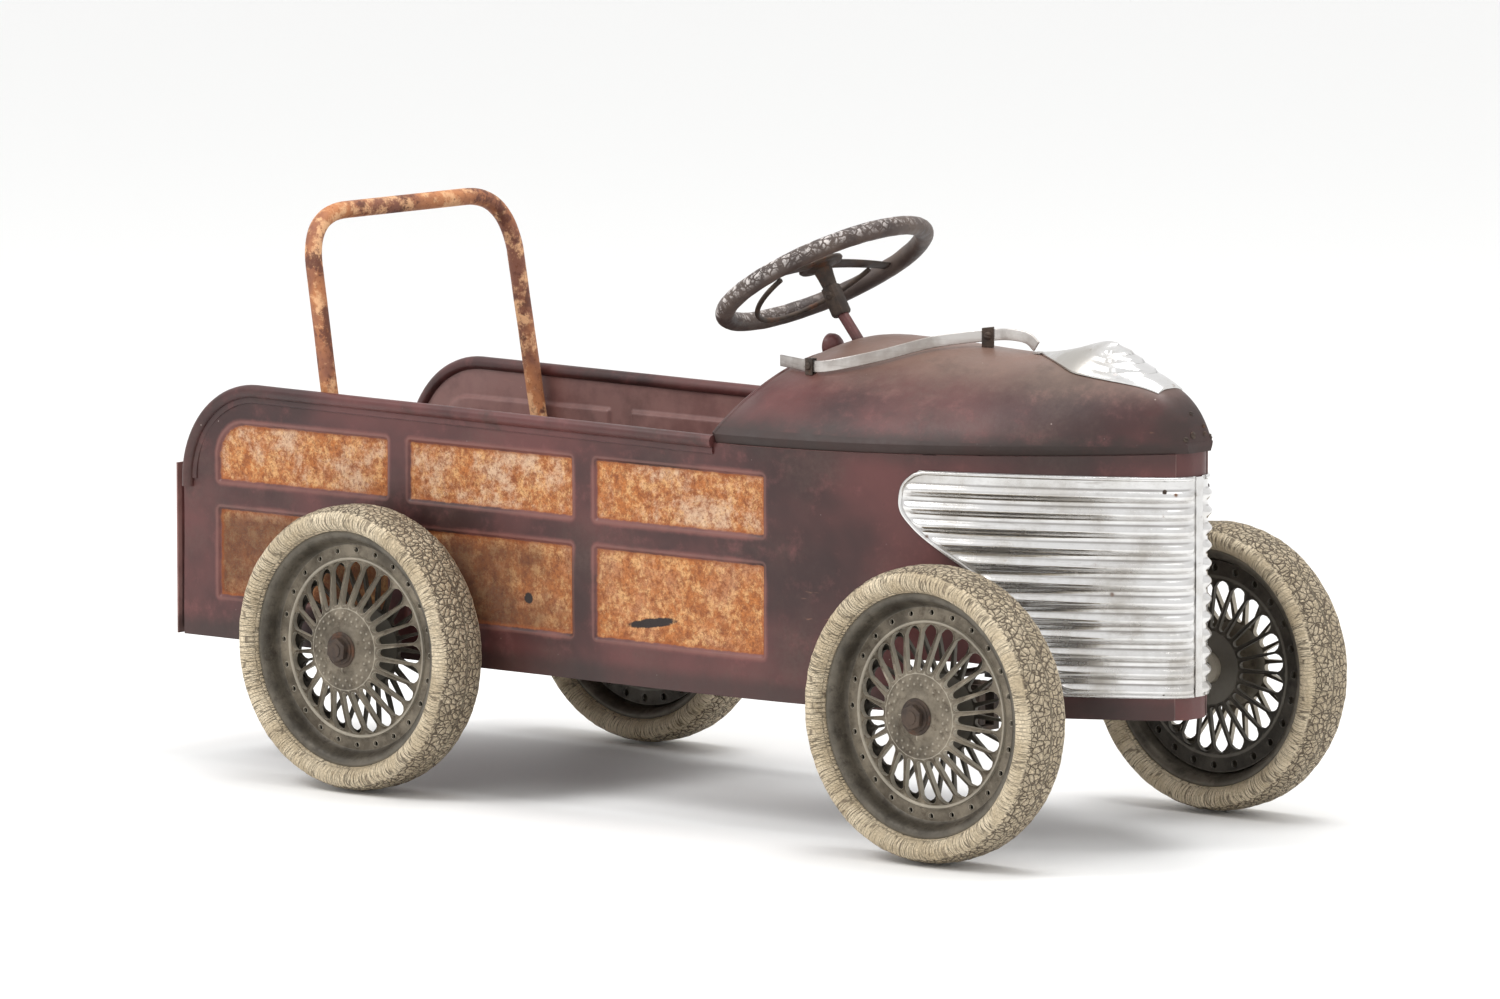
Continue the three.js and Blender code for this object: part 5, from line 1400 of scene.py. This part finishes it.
def back_disc(wheel):
    level = lying_on(BACK_DISC)
    petals = wheel.pierced(petal_outline(35.0, 76.0, 3.0, 8.2), 32, 78, level, 2.0, 0.8, 1.0, PITCH / 2)
    holes = wheel.pierced(round_outline(86.6, 3.4, 79.5, 92.8), 79.5, 92.8, level, 2.0, 0.2, 0.2)
    hub = [(14.5, -12.8), (32.4, -12.8), (32.4, -15.4), (14.5, -15.4)]
    rim = [(77.6, -3.8), (79.9, -3.8), (79.9, -6.4), (77.6, -6.4)]
    parts = [petals, holes, wheel.lathe(hub), wheel.lathe(rim)]
    return piece(f"{wheel.name}_inner_disc", parts, shaded_inner_cast_made, node=f"{wheel.name}_back_disc", smooth=45)


def axle_nut(wheel):
    """Hexagon nut on two washers, with its edges chamfered."""
    washers = [wheel.lathe([(6.6, 23.7), (15.6, 23.7), (16.0, 24.4), (15.4, 25.4), (6.6, 25.4)], 40),
               wheel.lathe([(6.6, 25.5), (12.8, 25.5), (13.1, 26.2), (12.6, 27.0), (6.6, 27.0)], 40)]
    turn = np.arange(6) * math.pi / 3 + 0.4
    hexagon = loft([wheel.at(r, turn, w) for r, w in ((9.8, 27.0), (11.0, 27.7), (11.0, 31.6), (9.8, 32.4),
                                                      (6.7, 32.4))])
    return piece(f"{wheel.name}_nut", [*washers, hexagon], steel_made,
                 node=f"{wheel.name}_axle_nut", smooth=28)


# ---------- stage ----------

def stage():
    floor = Finish("studio_floor")
    material = floor.done(rgb(246, 246, 245), 0.6, floor.bump(floor.noise(40, 3), 0.00002))
    size = 60
    mesh = bpy.data.meshes.new("floor")
    corners = [(-size, -size, 0), (size, -size, 0), (size, size, 0), (-size, size, 0)]
    mesh.from_pydata(corners, [], [(0, 1, 2, 3)])
    ground = bpy.data.objects.new("floor", mesh)
    ground.location.z = -0.0005
    bpy.context.scene.collection.objects.link(ground)
    mesh.materials.append(material)

    world = bpy.data.worlds.new("studio")
    bpy.context.scene.world = world
    world.use_nodes = True
    background = world.node_tree.nodes["Background"]
    background.inputs["Color"].default_value = (1.0, 1.0, 1.0, 1.0)
    background.inputs["Strength"].default_value = 1.0

    def softbox(name, place, target, width, power):
        light = bpy.data.lights.new(name, "AREA")
        light.shape, light.size, light.energy = "DISK", width, power
        lamp = bpy.data.objects.new(name, light)
        lamp.location = place
        lamp.rotation_mode = "QUATERNION"
        lamp.rotation_quaternion = (Vector(target) - Vector(place)).to_track_quat("-Z", "Y")
        bpy.context.scene.collection.objects.link(lamp)

    softbox("key", (-1.4, -2.4, 3.4), (0, 0, 0.2), 1.8, 65)
    softbox("top", (0.6, 0.4, 3.6), (0, 0, 0.2), 2.0, 55)
    bpy.context.scene.view_settings.view_transform = "Standard"


def camera():
    """Long lens, low three-quarter view of the right side and the nose."""
    azimuth, elevation = math.radians(40.06), math.radians(6.95)
    target = Vector((0.0233, 0, 0.2618))
    back = Vector((math.sin(azimuth) * math.cos(elevation), -math.cos(azimuth) * math.cos(elevation),
                   math.sin(elevation)))
    data = bpy.data.cameras.new("camera")
    data.lens, data.sensor_width = 265.3, 36
    made = bpy.data.objects.new("camera", data)
    made.location = target + back * 9.683
    made.rotation_mode = "QUATERNION"
    made.rotation_quaternion = (-back).to_track_quat("-Z", "Y")
    bpy.context.scene.collection.objects.link(made)
    bpy.context.scene.camera = made


# ---------- the car ----------

camera()
stage()

paint_made = paint_finish()
interior_made = paint_finish("interior_paint")
hood_made = hood_finish()
side_made = side_finish()
tube_made = tube_rust_finish()
bright_made = bright_finish()
aluminium_made = aluminium_finish()
cast_made = cast_finish("oxidised_casting")
# Shaded copies of the casting: painted shade on the barrel's inside and on the inner disc deep in the wheel.
shaded_barrel_made = cast_finish("dished_barrel", 0.72)
shaded_inner_cast_made = cast_finish("inner_casting", 0.55)
steel_made = steel_finish()
grip_made = grip_finish()
tyre_made = tyre_finish()
pad_made = pad_finish()

for side, sign in SIDES:
    side_sheet(side, sign)
    top_rail(side, sign)
    grille_half(side, sign)
front_strip()
grille_flange()
hood_piece()
nose_screws()
grille_screws()
hood_strap()
for station, node in CLIP_STATIONS:
    strap_clip(station, node)
cowl_lug()
ornament()
steering_rim()
steering_spokes()
horn_ring()
steering_collar()
hub_nut()
push_hoop()
seat_pan()
tailgate()
for name in ("rear_left", "rear_right", "front_left", "front_right"):
    wheel = Wheel(name)
    tyre(wheel)
    wheel_rim(wheel)
    back_disc(wheel)
    axle_nut(wheel)

MATERIAL_OF_SLOT = {"body_paint": paint_made, "dark_steel": steel_made, "pedal_rubber": pad_made}
for node, made in frame["nodes"].items():
    if not made.hide_render:
        material = MATERIAL_OF_SLOT[SLOT_OF[node]]
        made.data.materials.clear()
        made.data.materials.append(material)
        bevel = made.modifiers.new("worn_edges", "BEVEL")
        bevel.width, bevel.segments = 0.7 * MM, 2
        bevel.limit_method, bevel.angle_limit = "ANGLE", math.radians(40)
